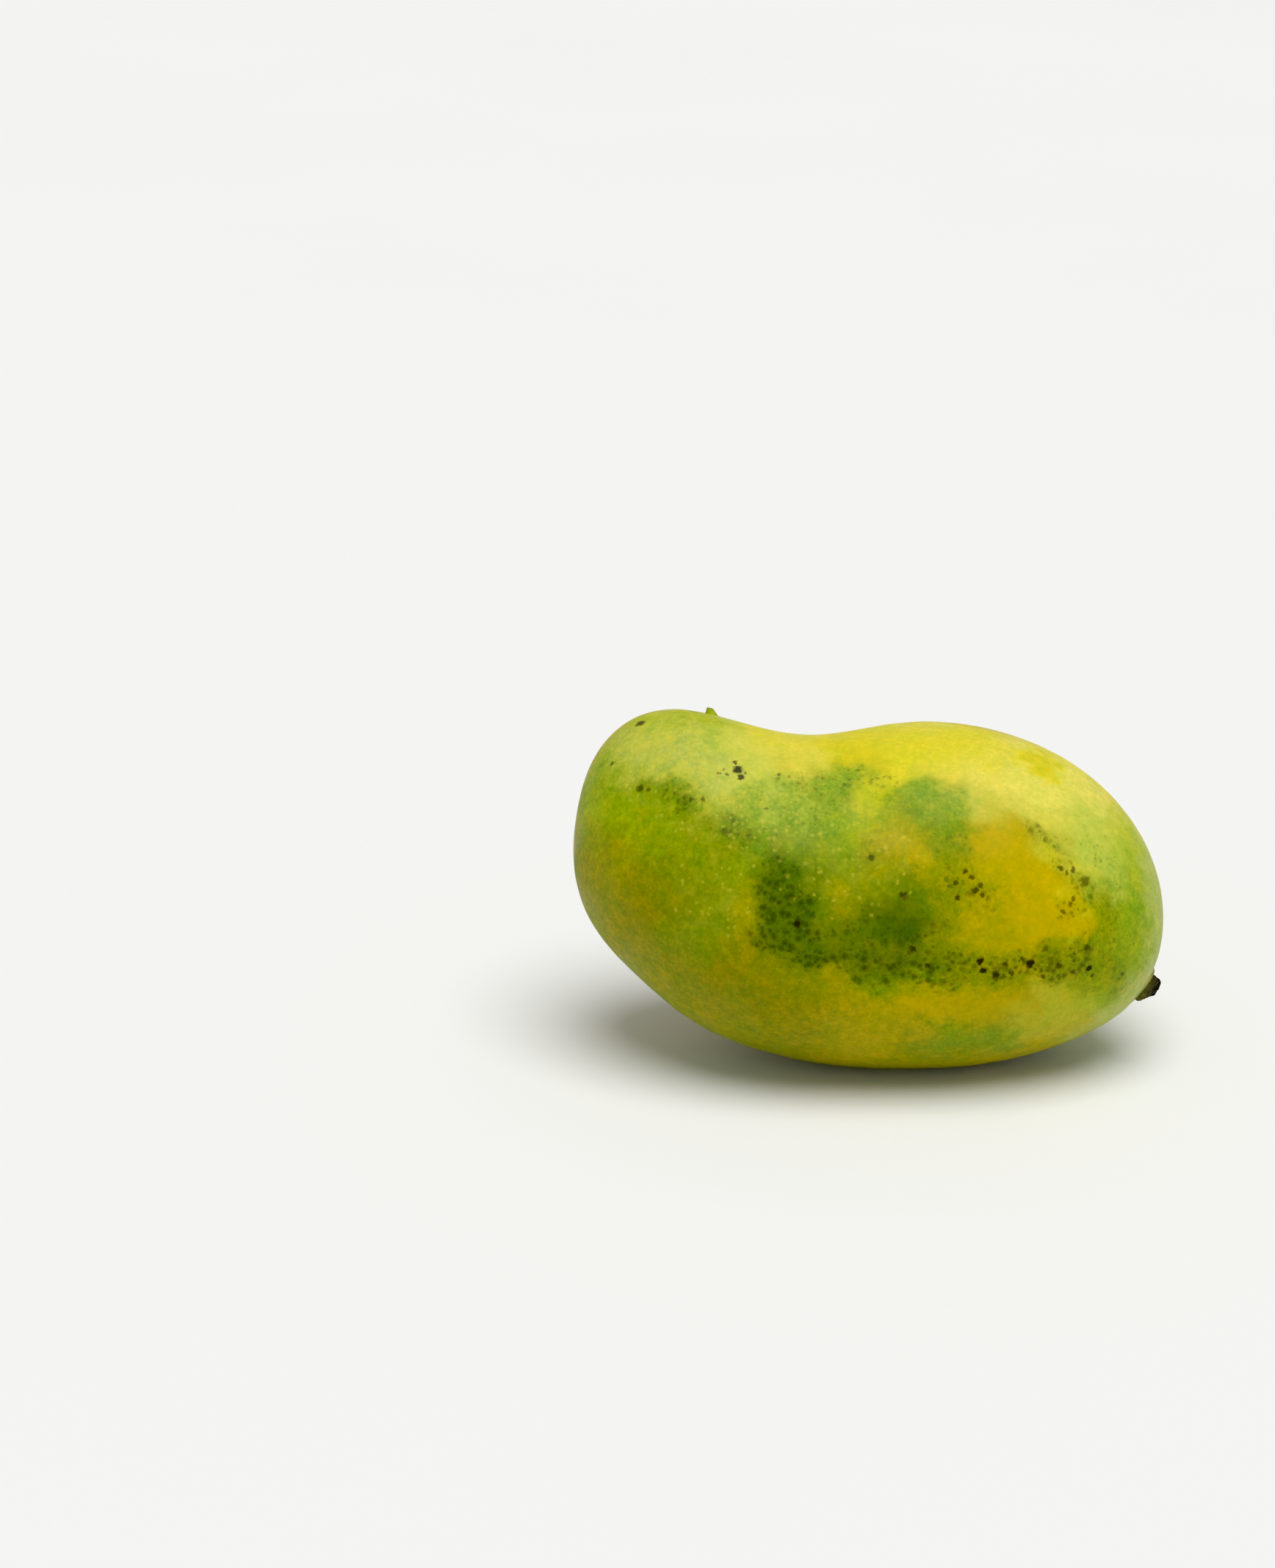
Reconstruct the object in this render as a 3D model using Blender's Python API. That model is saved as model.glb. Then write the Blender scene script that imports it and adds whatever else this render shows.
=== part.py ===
"""A whole picked mango with the stub of its stalk, resting on the small flat spot under its belly.

Units are metres and +Z is up. The fruit's length runs along X, with the stalk at +X and the rounded tip at -X.
It rests on its back edge, leaning a little towards +Y, so that its broad cheek faces -Y and a little upwards.
The origin is on the table, in the middle of the object's footprint.
"""

import math

import bmesh
import bpy
import numpy as np
from mathutils import Matrix, Vector, noise

MM = 0.001

# The fruit's driving sizes.
FRUIT_LENGTH = 128.5 * MM
END_ROUNDNESS = 2.3  # 2 would make elliptical ends; more makes them blunter
# One cross-section a row, from the tip to the stalk end: its place as a share of the half length, then the height
# of its middle above the long axis, its half height and its half thickness, in millimetres. Half height and half
# thickness are those of the body without its rounded ends.
SECTIONS = (
    (-1.00, 5.1, 43.9, 29.0),
    (-0.75, 2.5, 38.4, 30.5),
    (-0.50, -2.3, 35.9, 31.5),
    (-0.25, -4.0, 35.1, 32.5),
    (0.00, -1.5, 37.3, 33.5),
    (0.25, 0.8, 38.3, 34.0),
    (0.50, 1.8, 38.1, 34.0),
    (0.75, 1.8, 37.3, 33.0),
    (1.00, -0.5, 36.2, 31.0),
)
BELLY_FULLNESS = 0.05  # how much thicker a section is below its middle than above it, as a share
SIDE_SWAY = 0.9 * MM  # how far the long axis bends sideways between the ends

# Low swellings of the skin.
SWELL_HEIGHT = 0.45 * MM
SWELL_WAVES = 2.1  # swellings per half length
SWELL_SHIFT = Vector((3.1, 7.4, 1.7))  # which stretch of the noise the fruit takes

# The beak, a small blunt point that the flower left on the top edge near the tip.
BEAK_STATION = -0.612
# Its outline from its root inside the fruit to its end: height above the skin and radius, in millimetres.
BEAK_OUTLINE = ((-1.5, 1.6), (0.0, 1.3), (1.2, 0.55), (1.5, 0.25))
BEAK_LEAN = math.radians(24)  # from upright towards the tip
BEAK_STEPS = 20

# The stalk end: a shallow dimple in the skin, with the stub's socket in its middle.
STALK_STATION = 0.974
STALK_DROP = math.radians(11)  # how far the stub points below the long axis
DIMPLE_DEPTH = 0.5 * MM
DIMPLE_RADIUS = 5.5 * MM
# The stub's outline from its seat to its broken end: height above the skin and radius, in millimetres.
STUB_OUTLINE = ((-2.0, 2.5), (-0.7, 3.1), (0.8, 3.2), (1.5, 2.65), (2.25, 2.1), (2.85, 1.75), (3.15, 1.35))
SEAT_GAP = 0.3 * MM  # between the stub and its socket, all round
SOCKET_REACH = 4.0 * MM  # how far the socket's cutter runs up from the widest ring of the seat
STUB_LEAN = 0.35  # how far it leans towards the top edge for each unit that it rises above the skin
STUB_STEPS = 28
STUB_ROUGHNESS = 0.3 * MM
STUB_GRAIN = 620.0  # waves of roughness per metre
STUB_SEED = 4  # which rough bark the stub takes; without it, each build would draw another

# How it lies.
STEM_DIP = math.radians(10)  # the stalk end is lower than the tip
LEAN_BACK = math.radians(20)  # towards +Y
FLAT_DEPTH = 0.9 * MM  # how much of the round underside the flat spot takes

# The meshes.
FRUIT_SQUARES = 24  # along each edge of the cube that is blown up into the fruit
MERGE_DISTANCE = 0.01 * MM
SHARP_ANGLE = math.radians(40)


def clear_scene():
    """Removes the startup scene's objects."""
    for obj in list(bpy.data.objects):
        bpy.data.objects.remove(obj)


def natural_spline(stations, heights):
    """The smooth curve through the given points with no bend at its ends, as a function of the station."""
    x, y = np.array(stations, float), np.array(heights, float)
    step, rise = np.diff(x), np.diff(y)
    count = len(x)
    left, right = np.eye(count), np.zeros(count)
    for i in range(1, count - 1):
        left[i, i - 1 : i + 2] = step[i - 1], 2 * (step[i - 1] + step[i]), step[i]
        right[i] = 6 * (rise[i] / step[i] - rise[i - 1] / step[i - 1])
    bend = np.linalg.solve(left, right)

    def value(at):
        i = int(np.clip(np.searchsorted(x, at) - 1, 0, count - 2))
        a, b, h = x[i + 1] - at, at - x[i], step[i]
        curve = (bend[i] * a**3 + bend[i + 1] * b**3) / (6 * h)
        return curve + (y[i] / h - bend[i] * h / 6) * a + (y[i + 1] / h - bend[i + 1] * h / 6) * b

    return value


STATIONS, MIDDLES, HALF_HEIGHTS, HALF_THICKNESSES = zip(*SECTIONS)
middle_at = natural_spline(STATIONS, MIDDLES)
half_height_at = natural_spline(STATIONS, HALF_HEIGHTS)
half_thickness_at = natural_spline(STATIONS, HALF_THICKNESSES)


def body_point(direction):
    """The point of the smooth body that a direction of the unit sphere stands for, in the fruit's own axes."""
    station = max(-1.0, min(1.0, direction.x))
    ring = math.hypot(direction.y, direction.z) or 1.0
    across, up = direction.y / ring, direction.z / ring
    rounding = max(0.0, 1.0 - abs(station) ** END_ROUNDNESS) ** (1.0 / END_ROUNDNESS)
    thickness = half_thickness_at(station) * rounding * across * (1.0 - BELLY_FULLNESS * up)
    height = middle_at(station) + half_height_at(station) * rounding * up
    sway = SIDE_SWAY * math.sin(math.pi * station)
    return Vector((FRUIT_LENGTH / 2 * station, thickness * MM + sway, height * MM))


def edge_point(station, up):
    """The body's point on its top edge (up is 1) or back edge (up is -1) at a station."""
    return body_point(Vector((station, 0.0, up * math.sqrt(1.0 - station**2))))


BEAK_FOOT = edge_point(BEAK_STATION, 1)
BEAK_AXIS = Vector((-math.sin(BEAK_LEAN), 0.0, math.cos(BEAK_LEAN)))
STALK_FOOT = edge_point(STALK_STATION, -1)
STALK_AXIS = Vector((math.cos(STALK_DROP), 0.0, -math.sin(STALK_DROP)))


def skin_point(direction):
    """The body with its low swellings and the dimple at the stalk."""
    point = body_point(direction)
    swell = noise.noise(direction * SWELL_WAVES + SWELL_SHIFT) * SWELL_HEIGHT
    dimple = DIMPLE_DEPTH * math.exp(-(((point - STALK_FOOT).length / DIMPLE_RADIUS) ** 2))
    return point + direction * swell - STALK_AXIS * dimple


def fruit_bmesh():
    """A cube's grid of nearly equal squares, blown up into the unit sphere and from there into the fruit."""
    bm = bmesh.new()
    bmesh.ops.create_cube(bm, size=2.0)
    bmesh.ops.subdivide_edges(bm, edges=bm.edges[:], cuts=FRUIT_SQUARES - 1, use_grid_fill=True)
    for vertex in bm.verts:
        direction = Vector(math.tan(c * math.pi / 4) for c in vertex.co).normalized()
        vertex.co = skin_point(direction)
    return bm


def cut_flat(bm, to_world):
    """Cuts the fruit level with the table and closes the cut with one flat face."""
    to_fruit = to_world.inverted()
    down = (to_fruit.to_3x3() @ Vector((0.0, 0.0, -1.0))).normalized()
    parts = bm.verts[:] + bm.edges[:] + bm.faces[:]
    cut = bmesh.ops.bisect_plane(bm, geom=parts, plane_co=to_fruit.translation, plane_no=down, clear_outer=True)
    rim = [e for e in cut["geom_cut"] if isinstance(e, bmesh.types.BMEdge)]
    bmesh.ops.contextual_create(bm, geom=rim)
    bmesh.ops.recalc_face_normals(bm, faces=bm.faces)


def resting_matrix(points):
    """The pose that leans the fruit, sinks it by the flat spot's depth and centres its footprint on the origin."""
    turn = Matrix.Rotation(-LEAN_BACK, 4, "X") @ Matrix.Rotation(STEM_DIP, 4, "Y")
    placed = np.array([turn @ p for p in points])
    low, high = placed.min(axis=0), placed.max(axis=0)
    shift = Vector((-(low[0] + high[0]) / 2, -(low[1] + high[1]) / 2, -low[2] - FLAT_DEPTH))
    return Matrix.Translation(shift) @ turn


def turned(outline, steps):
    """A closed bmesh of an outline of (height, radius) pairs in millimetres, turned about Z."""
    bm = bmesh.new()
    profile = [(outline[0][0], 0.0), *outline, (outline[-1][0], 0.0)]
    verts = [bm.verts.new((radius * MM, 0.0, height * MM)) for height, radius in profile]
    edges = [bm.edges.new(pair) for pair in zip(verts, verts[1:])]
    spun = verts + edges
    bmesh.ops.spin(bm, geom=spun, axis=(0, 0, 1), cent=(0, 0, 0), angle=2 * math.pi, steps=steps, use_merge=True)
    bmesh.ops.remove_doubles(bm, verts=bm.verts, dist=MERGE_DISTANCE)
    bmesh.ops.recalc_face_normals(bm, faces=bm.faces)
    return bm


def stub_bmesh():
    """The stub about its own axis, leaning over and left uneven where it stands above the skin."""
    bm = turned(STUB_OUTLINE, STUB_STEPS)
    noise.seed_set(STUB_SEED)
    for vertex in bm.verts:
        rise = max(0.0, vertex.co.z)
        bark = noise.noise_vector(vertex.co * STUB_GRAIN) * STUB_ROUGHNESS
        vertex.co += bark * min(1.0, rise / MM) + Vector((0.0, STUB_LEAN * rise, 0.0))
    return bm


def socket_bmesh():
    """The hole for the stub's seat, wider and deeper than the stub by the seat's gap."""
    gap = SEAT_GAP / MM
    foot, belt, collar = STUB_OUTLINE[:3]
    lip = (belt[0] + SOCKET_REACH / MM, collar[1] + gap)
    return turned([(foot[0] - gap, foot[1] + gap), (belt[0], belt[1] + gap), lip], STUB_STEPS)


def skin_material():
    """Waxy green and yellow skin."""
    return plain_material("mango_skin", (0.42, 0.47, 0.05, 1.0), 0.42)


def stalk_material():
    """Dry dark stalk."""
    return plain_material("dry_stalk", (0.06, 0.05, 0.02, 1.0), 0.8)


def plain_material(name, colour, roughness):
    """A Principled material of one colour."""
    material = bpy.data.materials.new(name)
    material.use_nodes = True
    shader = material.node_tree.nodes["Principled BSDF"]
    shader.inputs["Base Color"].default_value = colour
    shader.inputs["Roughness"].default_value = roughness
    shader.inputs["Metallic"].default_value = 0.0
    return material


def frame_of(foot, axis):
    """The matrix that stands a piece made about Z on a foot in the fruit's axes, with its Y towards the top edge."""
    across = Vector((0.0, 1.0, 0.0)).cross(axis).normalized()
    up = -across if across.z < 0 else across
    side = up.cross(axis)
    return Matrix.Translation(foot) @ Matrix((side, up, axis)).transposed().to_4x4()


def add_object(name, bm, parent, place, material=None):
    """Makes a smooth-shaded object of a bmesh, placed in the axes of the empty that holds the pose."""
    mesh = bpy.data.meshes.new(name)
    bm.to_mesh(mesh)
    bm.free()
    mesh.shade_smooth()
    mesh.set_sharp_from_angle(angle=SHARP_ANGLE)
    if material:
        mesh.materials.append(material)
    obj = bpy.data.objects.new(name, mesh)
    bpy.context.scene.collection.objects.link(obj)
    obj.parent = parent
    obj.matrix_local = place
    return obj


def combine(target, operation, tool):
    """Joins a tool to the target or cuts it out, and keeps the tool itself out of the model."""
    tool.hide_render = True
    tool.display_type = "WIRE"
    boolean = target.modifiers.new(tool.name, "BOOLEAN")
    boolean.operation = operation
    boolean.solver = "EXACT"
    boolean.object = tool


def build():
    """Builds the fruit and its stub in their resting pose."""
    clear_scene()
    body = fruit_bmesh()
    stub = stub_bmesh()
    stalk_place = frame_of(STALK_FOOT, STALK_AXIS)
    rest = resting_matrix([v.co for v in body.verts] + [stalk_place @ v.co for v in stub.verts])
    cut_flat(body, rest)

    pose = bpy.data.objects.new("resting_pose", None)
    bpy.context.scene.collection.objects.link(pose)
    pose.matrix_world = rest

    fruit = add_object("mango_fruit", body, pose, Matrix.Identity(4), skin_material())
    combine(fruit, "UNION", add_object("beak", turned(BEAK_OUTLINE, BEAK_STEPS), pose, frame_of(BEAK_FOOT, BEAK_AXIS)))
    combine(fruit, "DIFFERENCE", add_object("stalk_socket", socket_bmesh(), pose, stalk_place))
    add_object("stem_stub", stub, pose, stalk_place, stalk_material())


build()
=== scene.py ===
"""The looks of a whole picked mango: its mottled waxy skin, its dry stalk stub and the studio it is seen in.

Units are metres and +Z is up, as in the frame. The fruit and the stub are shaped in the fruit's own axes,
which lie level with +X towards the stalk, and are then laid down in the resting pose. Places on a cheek are
written as (along, up) in millimetres in those same axes.
"""

import logging
import math
from collections.abc import Mapping, Sequence
from dataclasses import dataclass, field
from enum import Enum
from typing import Any

import bmesh
import bpy
import numpy as np
from mathutils import Matrix, Vector, noise


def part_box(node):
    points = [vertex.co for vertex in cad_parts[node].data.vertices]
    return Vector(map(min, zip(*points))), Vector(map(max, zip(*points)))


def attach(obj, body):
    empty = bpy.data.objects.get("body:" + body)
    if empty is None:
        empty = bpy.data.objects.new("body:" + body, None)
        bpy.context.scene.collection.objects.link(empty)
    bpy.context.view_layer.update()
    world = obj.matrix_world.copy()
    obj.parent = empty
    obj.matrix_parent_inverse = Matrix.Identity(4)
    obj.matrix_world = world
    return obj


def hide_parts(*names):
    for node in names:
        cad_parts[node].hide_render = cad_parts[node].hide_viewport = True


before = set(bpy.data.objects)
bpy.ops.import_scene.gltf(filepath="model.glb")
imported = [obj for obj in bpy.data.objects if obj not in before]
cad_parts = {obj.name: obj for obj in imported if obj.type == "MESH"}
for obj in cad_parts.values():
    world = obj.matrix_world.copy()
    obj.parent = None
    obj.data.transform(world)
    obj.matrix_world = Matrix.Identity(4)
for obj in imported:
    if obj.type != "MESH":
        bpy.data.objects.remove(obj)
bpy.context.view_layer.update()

MM = 0.001
BODY = "root"
FAR_AWAY = 99.0  # millimetres, past any place on the fruit
MERGE_DISTANCE = 0.005 * MM
log = logging.getLogger("mango")

Colour = tuple[float, float, float, float]
Place = tuple[float, float]
Socket = bpy.types.NodeSocket


def linear(red: int, green: int, blue: int) -> Colour:
    """Turns a colour as a screen shows it into the linear light that shaders use.

    Args:
        red: the screen's red, 0 to 255.
        green: the screen's green, 0 to 255.
        blue: the screen's blue, 0 to 255.

    Returns:
        The linear colour with an alpha of 1.
    """
    shares = np.array((red, green, blue)) / 255
    light = np.where(shares <= 0.04045, shares / 12.92, ((shares + 0.055) / 1.055) ** 2.4)
    return (*light.tolist(), 1.0)


def smooth_step(value: np.ndarray, start: float, end: float) -> np.ndarray:
    """Rises smoothly from 0 at start to 1 at end.

    Args:
        value: where to read the step.
        start: where it leaves 0.
        end: where it reaches 1.

    Returns:
        The step's height at each value.
    """
    share = np.clip((value - start) / (end - start), 0, 1)
    return share * share * (3 - 2 * share)


class Tone(Enum):
    """The skin's colours, as a screen shows them under full light."""

    # Pale cream: on the upper shoulder and the lobe partly a painted sheen.
    BUTTER = (230, 217, 92)
    LEMON = (225, 210, 38)
    GOLD = (194, 169, 4)
    OLD_GOLD = (180, 162, 6)
    DULL_GOLD = (162, 150, 5)
    STRAW = (190, 184, 42)
    # Pale haze: along the right end a painted reflection, on the left lobe partly a painted sheen.
    HAZE_AND_SHEEN = (184, 190, 98)
    PALE_LIME = (182, 194, 70)
    LIME = (168, 181, 12)
    MIST_GREEN = (145, 168, 40)
    LEAF = (138, 156, 11)
    OLIVE = (143, 145, 5)
    # Painted shadow over the lower left.
    PAINTED_SHADE_OLIVE = (132, 126, 4)
    MOSS = (112, 128, 4)
    FOREST = (86, 107, 4)
    BOTTLE = (72, 94, 3)
    BARK = (92, 82, 14)


class Mask(Enum):
    """The skin's grey layers, which say where a detail shows."""

    SPECKS = "specks"
    PORES = "pores"


class Cheek(Enum):
    """The fruit's two broad sides, by the sign of Y in its own axes."""

    NEAR = -1
    FAR = 1


@dataclass(frozen=True)
class Sweep:
    """A soft sweep of an airbrush over one cheek.

    Attributes:
        coat: the colour or the grey layer that it lays down.
        reach: half its width in millimetres.
        path: the way of its middle over the cheek.
        strength: how much of what lies under it it covers.
        fade: the share of the half width over which its edge fades.
        cheek: the cheek that it lies on.
    """

    coat: Tone | Mask
    reach: float
    path: tuple[Place, ...]
    strength: float = 0.85
    fade: float = 0.7
    cheek: Cheek = Cheek.NEAR


@dataclass(frozen=True)
class Mark:
    """A dark mark that one bruise or scab left on the skin.

    Attributes:
        at: its place on the cheek.
        reach: its radius in millimetres.
        depth: how dark it is, up to 1.
        cheek: the cheek that it lies on.
    """

    at: Place
    reach: float
    depth: float = 0.85
    cheek: Cheek = Cheek.NEAR


# The near cheek, from the broad grounds to the small blotches on them.
NEAR_SWEEPS = (
    Sweep(Tone.OLIVE, 15, ((-52, 2), (-36, 2), (-22, 2), (-4, 2), (10, 4)), 0.95),
    # The lower ground: dull gold, deepened in part as painted shade.
    Sweep(Tone.DULL_GOLD, 15, ((-52, -12), (-36, -20), (-18, -28), (-2, -32)), 0.95),
    Sweep(Tone.OLD_GOLD, 12, ((2, -27), (16, -27), (30, -24)), 0.85),
    # Painted shadow: a darker olive over the lower left.
    Sweep(Tone.PAINTED_SHADE_OLIVE, 9, ((-42, -12), (-28, -21), (-12, -29)), 0.5, 1.0),
    Sweep(Tone.LIME, 13, ((-58, 16), (-50, 24), (-42, 24), (-36, 16)), 0.95),
    # Partly painted sheen: the upper shoulder's pale cream.
    Sweep(Tone.BUTTER, 10, ((8, 35), (28, 32), (42, 27), (50, 19)), 0.95),
    Sweep(Tone.LEMON, 7, ((-28, 30), (-16, 29), (-8, 30), (4, 32), (16, 35)), 0.9, 0.9),
    Sweep(Tone.LIME, 12, ((57, 14), (57, 0), (54, -12)), 0.95),
    Sweep(Tone.BUTTER, 4.5, ((18, 25), (26, 23), (36, 21)), 0.6, 0.9),
    Sweep(Tone.PALE_LIME, 5, ((42, 19), (47, 13)), 0.8, 0.9),
    Sweep(Tone.STRAW, 4, ((20, 21), (28, 20), (34, 18)), 0.55, 0.9),
    # The left lobe. Its pale haze and pale lime on top are partly a painted sheen.
    Sweep(Tone.HAZE_AND_SHEEN, 7, ((-54, 21), (-45, 22), (-36, 20)), 0.6, 1.0),
    Sweep(Tone.LIME, 4, ((-56, 30), (-48, 34), (-38, 32)), 0.8, 0.9),
    # Partly painted sheen: pale lime over the neck.
    Sweep(Tone.PALE_LIME, 5.5, ((-35, 24), (-28, 18), (-20, 13)), 0.8, 0.9),
    Sweep(Tone.BUTTER, 3.5, ((-33, 27), (-27, 25), (-16, 25)), 0.5, 1.0),
    Sweep(Tone.LEAF, 4, ((-60, 12), (-50, 11), (-42, 10)), 0.7, 0.9),
    Sweep(Tone.MOSS, 3, ((-47, 13), (-43, 12), (-40, 10)), 0.55, 0.9),
    # The lower end of this sweep is partly painted shade.
    Sweep(Tone.LEAF, 6, ((-44, 6), (-36, 3), (-32, -5), (-35, -14)), 0.75, 0.9),
    Sweep(Tone.OLIVE, 4, ((-38, 7), (-33, 5)), 0.6),
    Sweep(Tone.MOSS, 3.4, ((-31, 8), (-26, 6)), 0.6, 0.9),
    Sweep(Tone.LEAF, 4, ((-28, 12), (-22, 8)), 0.5, 0.9),
    Sweep(Tone.STRAW, 2.5, ((-36, 12), (-32, 14)), 0.4, 1.0),
    # Partly painted shade: a darker green low on the neck.
    Sweep(Tone.MOSS, 5, ((-37, -1), (-34, -11)), 0.4, 1.0),
    # The green clouds of the upper middle.
    Sweep(Tone.MIST_GREEN, 6, ((-21, 11), (-15, 14), (-9, 17)), 0.85, 0.9),
    Sweep(Tone.MIST_GREEN, 2.6, ((-14, 21.5), (-9, 22.5), (-4, 23.5)), 0.6, 0.9),
    Sweep(Tone.LEAF, 4.6, ((-22, 4), (-14, 5), (-8, 8)), 0.8, 0.9),
    Sweep(Tone.LIME, 4, ((-6, 13), (-2, 16), (1, 18)), 0.75, 0.9),
    Sweep(Tone.LEAF, 4.6, ((4, 19), (9, 18), (13, 15)), 0.85, 0.9),
    Sweep(Tone.MIST_GREEN, 3, ((4, 22), (13, 21.5)), 0.7, 1.0),
    Sweep(Tone.LEMON, 2.6, ((3, 29), (0, 25), (-5, 19)), 0.75, 0.8),
    Sweep(Tone.LIME, 2.2, ((-4, 19), (-1, 20)), 0.6, 0.9),
    Sweep(Tone.OLIVE, 4, ((8, 13), (14, 12), (19, 9)), 0.7, 0.9),
    # The gold blotches.
    Sweep(Tone.OLD_GOLD, 4, ((0, 12), (8, 8)), 0.6, 0.9),
    Sweep(Tone.GOLD, 2.6, ((4, 12), (8, 9)), 0.6, 0.9),
    Sweep(Tone.OLIVE, 4, ((14, 7), (16, 0), (17, -6)), 0.8, 0.8),
    Sweep(Tone.LEAF, 2.4, ((11, 15), (16, 13)), 0.3, 0.9),
    Sweep(Tone.OLD_GOLD, 8, ((25, 10), (29, 3), (25, -2), (35, -2)), 0.85, 0.6),
    Sweep(Tone.GOLD, 6, ((25, 13), (31, 7), (34, 1)), 0.85, 0.5),
    Sweep(Tone.GOLD, 3, ((24, 15.5), (29, 14.5)), 0.7, 0.6),
    Sweep(Tone.GOLD, 2.8, ((38, 0), (44.5, 0)), 0.9, 0.35),
    Sweep(Tone.OLD_GOLD, 3.4, ((22, -4), (29, -6)), 0.7, 0.8),
    Sweep(Tone.OLIVE, 2.4, ((30, 18), (36, 15), (41, 10)), 0.4, 0.8),
    Sweep(Tone.STRAW, 1.8, ((31, 14.5), (34, 13.5)), 0.5),
    Sweep(Tone.OLIVE, 4, ((-10, 3), (-3, 5)), 0.8, 0.9),
    Sweep(Tone.OLD_GOLD, 3.2, ((-9, -3), (-4, -5)), 0.85, 0.85),
    Sweep(Tone.OLD_GOLD, 3, ((2, 6), (6, 3)), 0.6, 0.9),
    Sweep(Tone.LEMON, 2.4, ((28, 33), (33, 32)), 1.0, 0.5),
    Sweep(Tone.GOLD, 1.6, ((29, 33), (32.5, 32)), 0.25),
    # The dark green patch and the band that runs from it.
    Sweep(Tone.LEAF, 5, ((-20, 4), (-12, 3)), 0.7, 0.9),
    Sweep(Tone.MOSS, 5, ((-20, 1), (-14, 0), (-13, -6)), 0.95, 0.85),
    Sweep(Tone.FOREST, 4.7, ((-20.5, -1), (-19, -5), (-16, -8)), 0.9, 0.75),
    Sweep(Tone.MOSS, 6, ((-9, -10), (-1, -9), (7, -6), (12, -9)), 0.8, 0.8),
    Sweep(Tone.MOSS, 3, ((-20, -13), (-13, -13.5), (-4, -15.5), (4, -16.5), (17, -14.5)), 0.85, 0.8),
    Sweep(Tone.FOREST, 2.8, ((-19, -12.5), (-13, -13.5), (6, -14)), 0.6, 0.9),
    Sweep(Tone.FOREST, 5.5, ((2, -7), (8, -6)), 0.8, 0.9),
    Sweep(Tone.MOSS, 3.2, ((5, 1.5), (10, 0)), 0.85, 0.8),
    Sweep(Tone.DULL_GOLD, 3, ((14, 3), (15, -4)), 0.6, 0.9),
    Sweep(Tone.BOTTLE, 3.4, ((3.5, -5.5), (8, -7)), 0.7, 0.9),
    Sweep(Tone.LEAF, 2.2, ((1, -19), (8, -19.5), (15, -17)), 0.6, 0.8),
    Sweep(Tone.OLD_GOLD, 2.1, ((-27, -9.5), (-24, -9.5)), 0.6, 0.8),
    Sweep(Tone.OLIVE, 2.6, ((21, -11.5), (32, -11), (46, -8.5)), 0.55),
    Sweep(Tone.MOSS, 2.2, ((37, -6), (43, -5)), 0.55),
    # The lower edge and the right end.
    Sweep(Tone.GOLD, 3.4, ((12, -22), (24, -20), (33, -18.5)), 0.7, 0.8),
    Sweep(Tone.OLIVE, 3.6, ((14, -31), (24, -29), (34, -26)), 0.8, 0.9),
    Sweep(Tone.LEAF, 2.8, ((20, -28), (34, -26)), 0.75, 0.9),
    Sweep(Tone.STRAW, 3, ((40, -15), (46, -17)), 0.75, 0.8),
    Sweep(Tone.STRAW, 4, ((38, -22), (48, -20)), 0.7, 0.8),
    Sweep(Tone.OLD_GOLD, 2, ((44, -23), (50, -20)), 0.6),
    Sweep(Tone.LEAF, 5.5, ((51, 8), (54, 3), (54, -5)), 0.8, 0.9),
    Sweep(Tone.OLIVE, 3, ((47, 8), (49, 1), (47, -6)), 0.7, 0.9),
    Sweep(Tone.OLIVE, 4.5, ((46, -8), (54, -10)), 0.7, 0.8),
    Sweep(Tone.PALE_LIME, 2.6, ((47, 14), (52, 10)), 0.5, 0.8),
    # Painted reflection: a pale haze along the right end's rim.
    Sweep(Tone.HAZE_AND_SHEEN, 3.6, ((60, 16), (64, 6), (64, -4), (61, -15), (53, -24)), 0.85, 0.9),
    # Where the dark specks crowd.
    Sweep(Mask.SPECKS, 4.2, ((-21, -1), (-19.5, -5), (-16, -8)), 1.0, 0.6),
    Sweep(Mask.SPECKS, 2.8, ((-21, -13), (-13, -14), (-4, -16), (4, -16.5), (16, -15)), 0.9, 0.7),
    Sweep(Mask.SPECKS, 3, ((-15, -9), (-12, -11)), 0.85),
    Sweep(Mask.SPECKS, 5, ((-8, -10), (2, -11), (14, -10)), 0.5),
    Sweep(Mask.SPECKS, 2.6, ((19, -12), (28, -11), (46, -7.5)), 0.75),
    Sweep(Mask.SPECKS, 1.8, ((37, -6), (43, -6)), 0.7),
    Sweep(Mask.SPECKS, 2.8, ((15, 6), (21, 3)), 0.6),
    Sweep(Mask.SPECKS, 2.6, ((8, 16), (13, 14), (18, 12)), 0.4),
    Sweep(Mask.SPECKS, 2.2, ((-24, 20), (-8, 22), (0, 24)), 0.45),
    Sweep(Mask.SPECKS, 2.6, ((-47, 13), (-40, 11)), 0.6),
    Sweep(Mask.SPECKS, 2.5, ((-27, 6), (-33, 8)), 0.5),
    Sweep(Mask.SPECKS, 5, ((-20, 12), (-10, 17)), 0.25),
    Sweep(Mask.SPECKS, 2.3, ((37, 13), (43, 8), (41, 3)), 0.5),
    Sweep(Mask.SPECKS, 2, ((30, 19), (36, 15)), 0.6),
    Sweep(Mask.SPECKS, 5, ((46, 16), (52, 14)), 0.25),
    Sweep(Mask.SPECKS, 6, ((48, 2), (54, -8)), 0.35),
    Sweep(Mask.PORES, 10, ((-50, 22), (-38, 18), (-24, 16)), 1.0),
    Sweep(Mask.PORES, 7, ((-36, 4), (-32, -8)), 0.4),
    Sweep(Mask.PORES, 8, ((-12, 0), (-2, 6)), 0.35),
)

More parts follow.
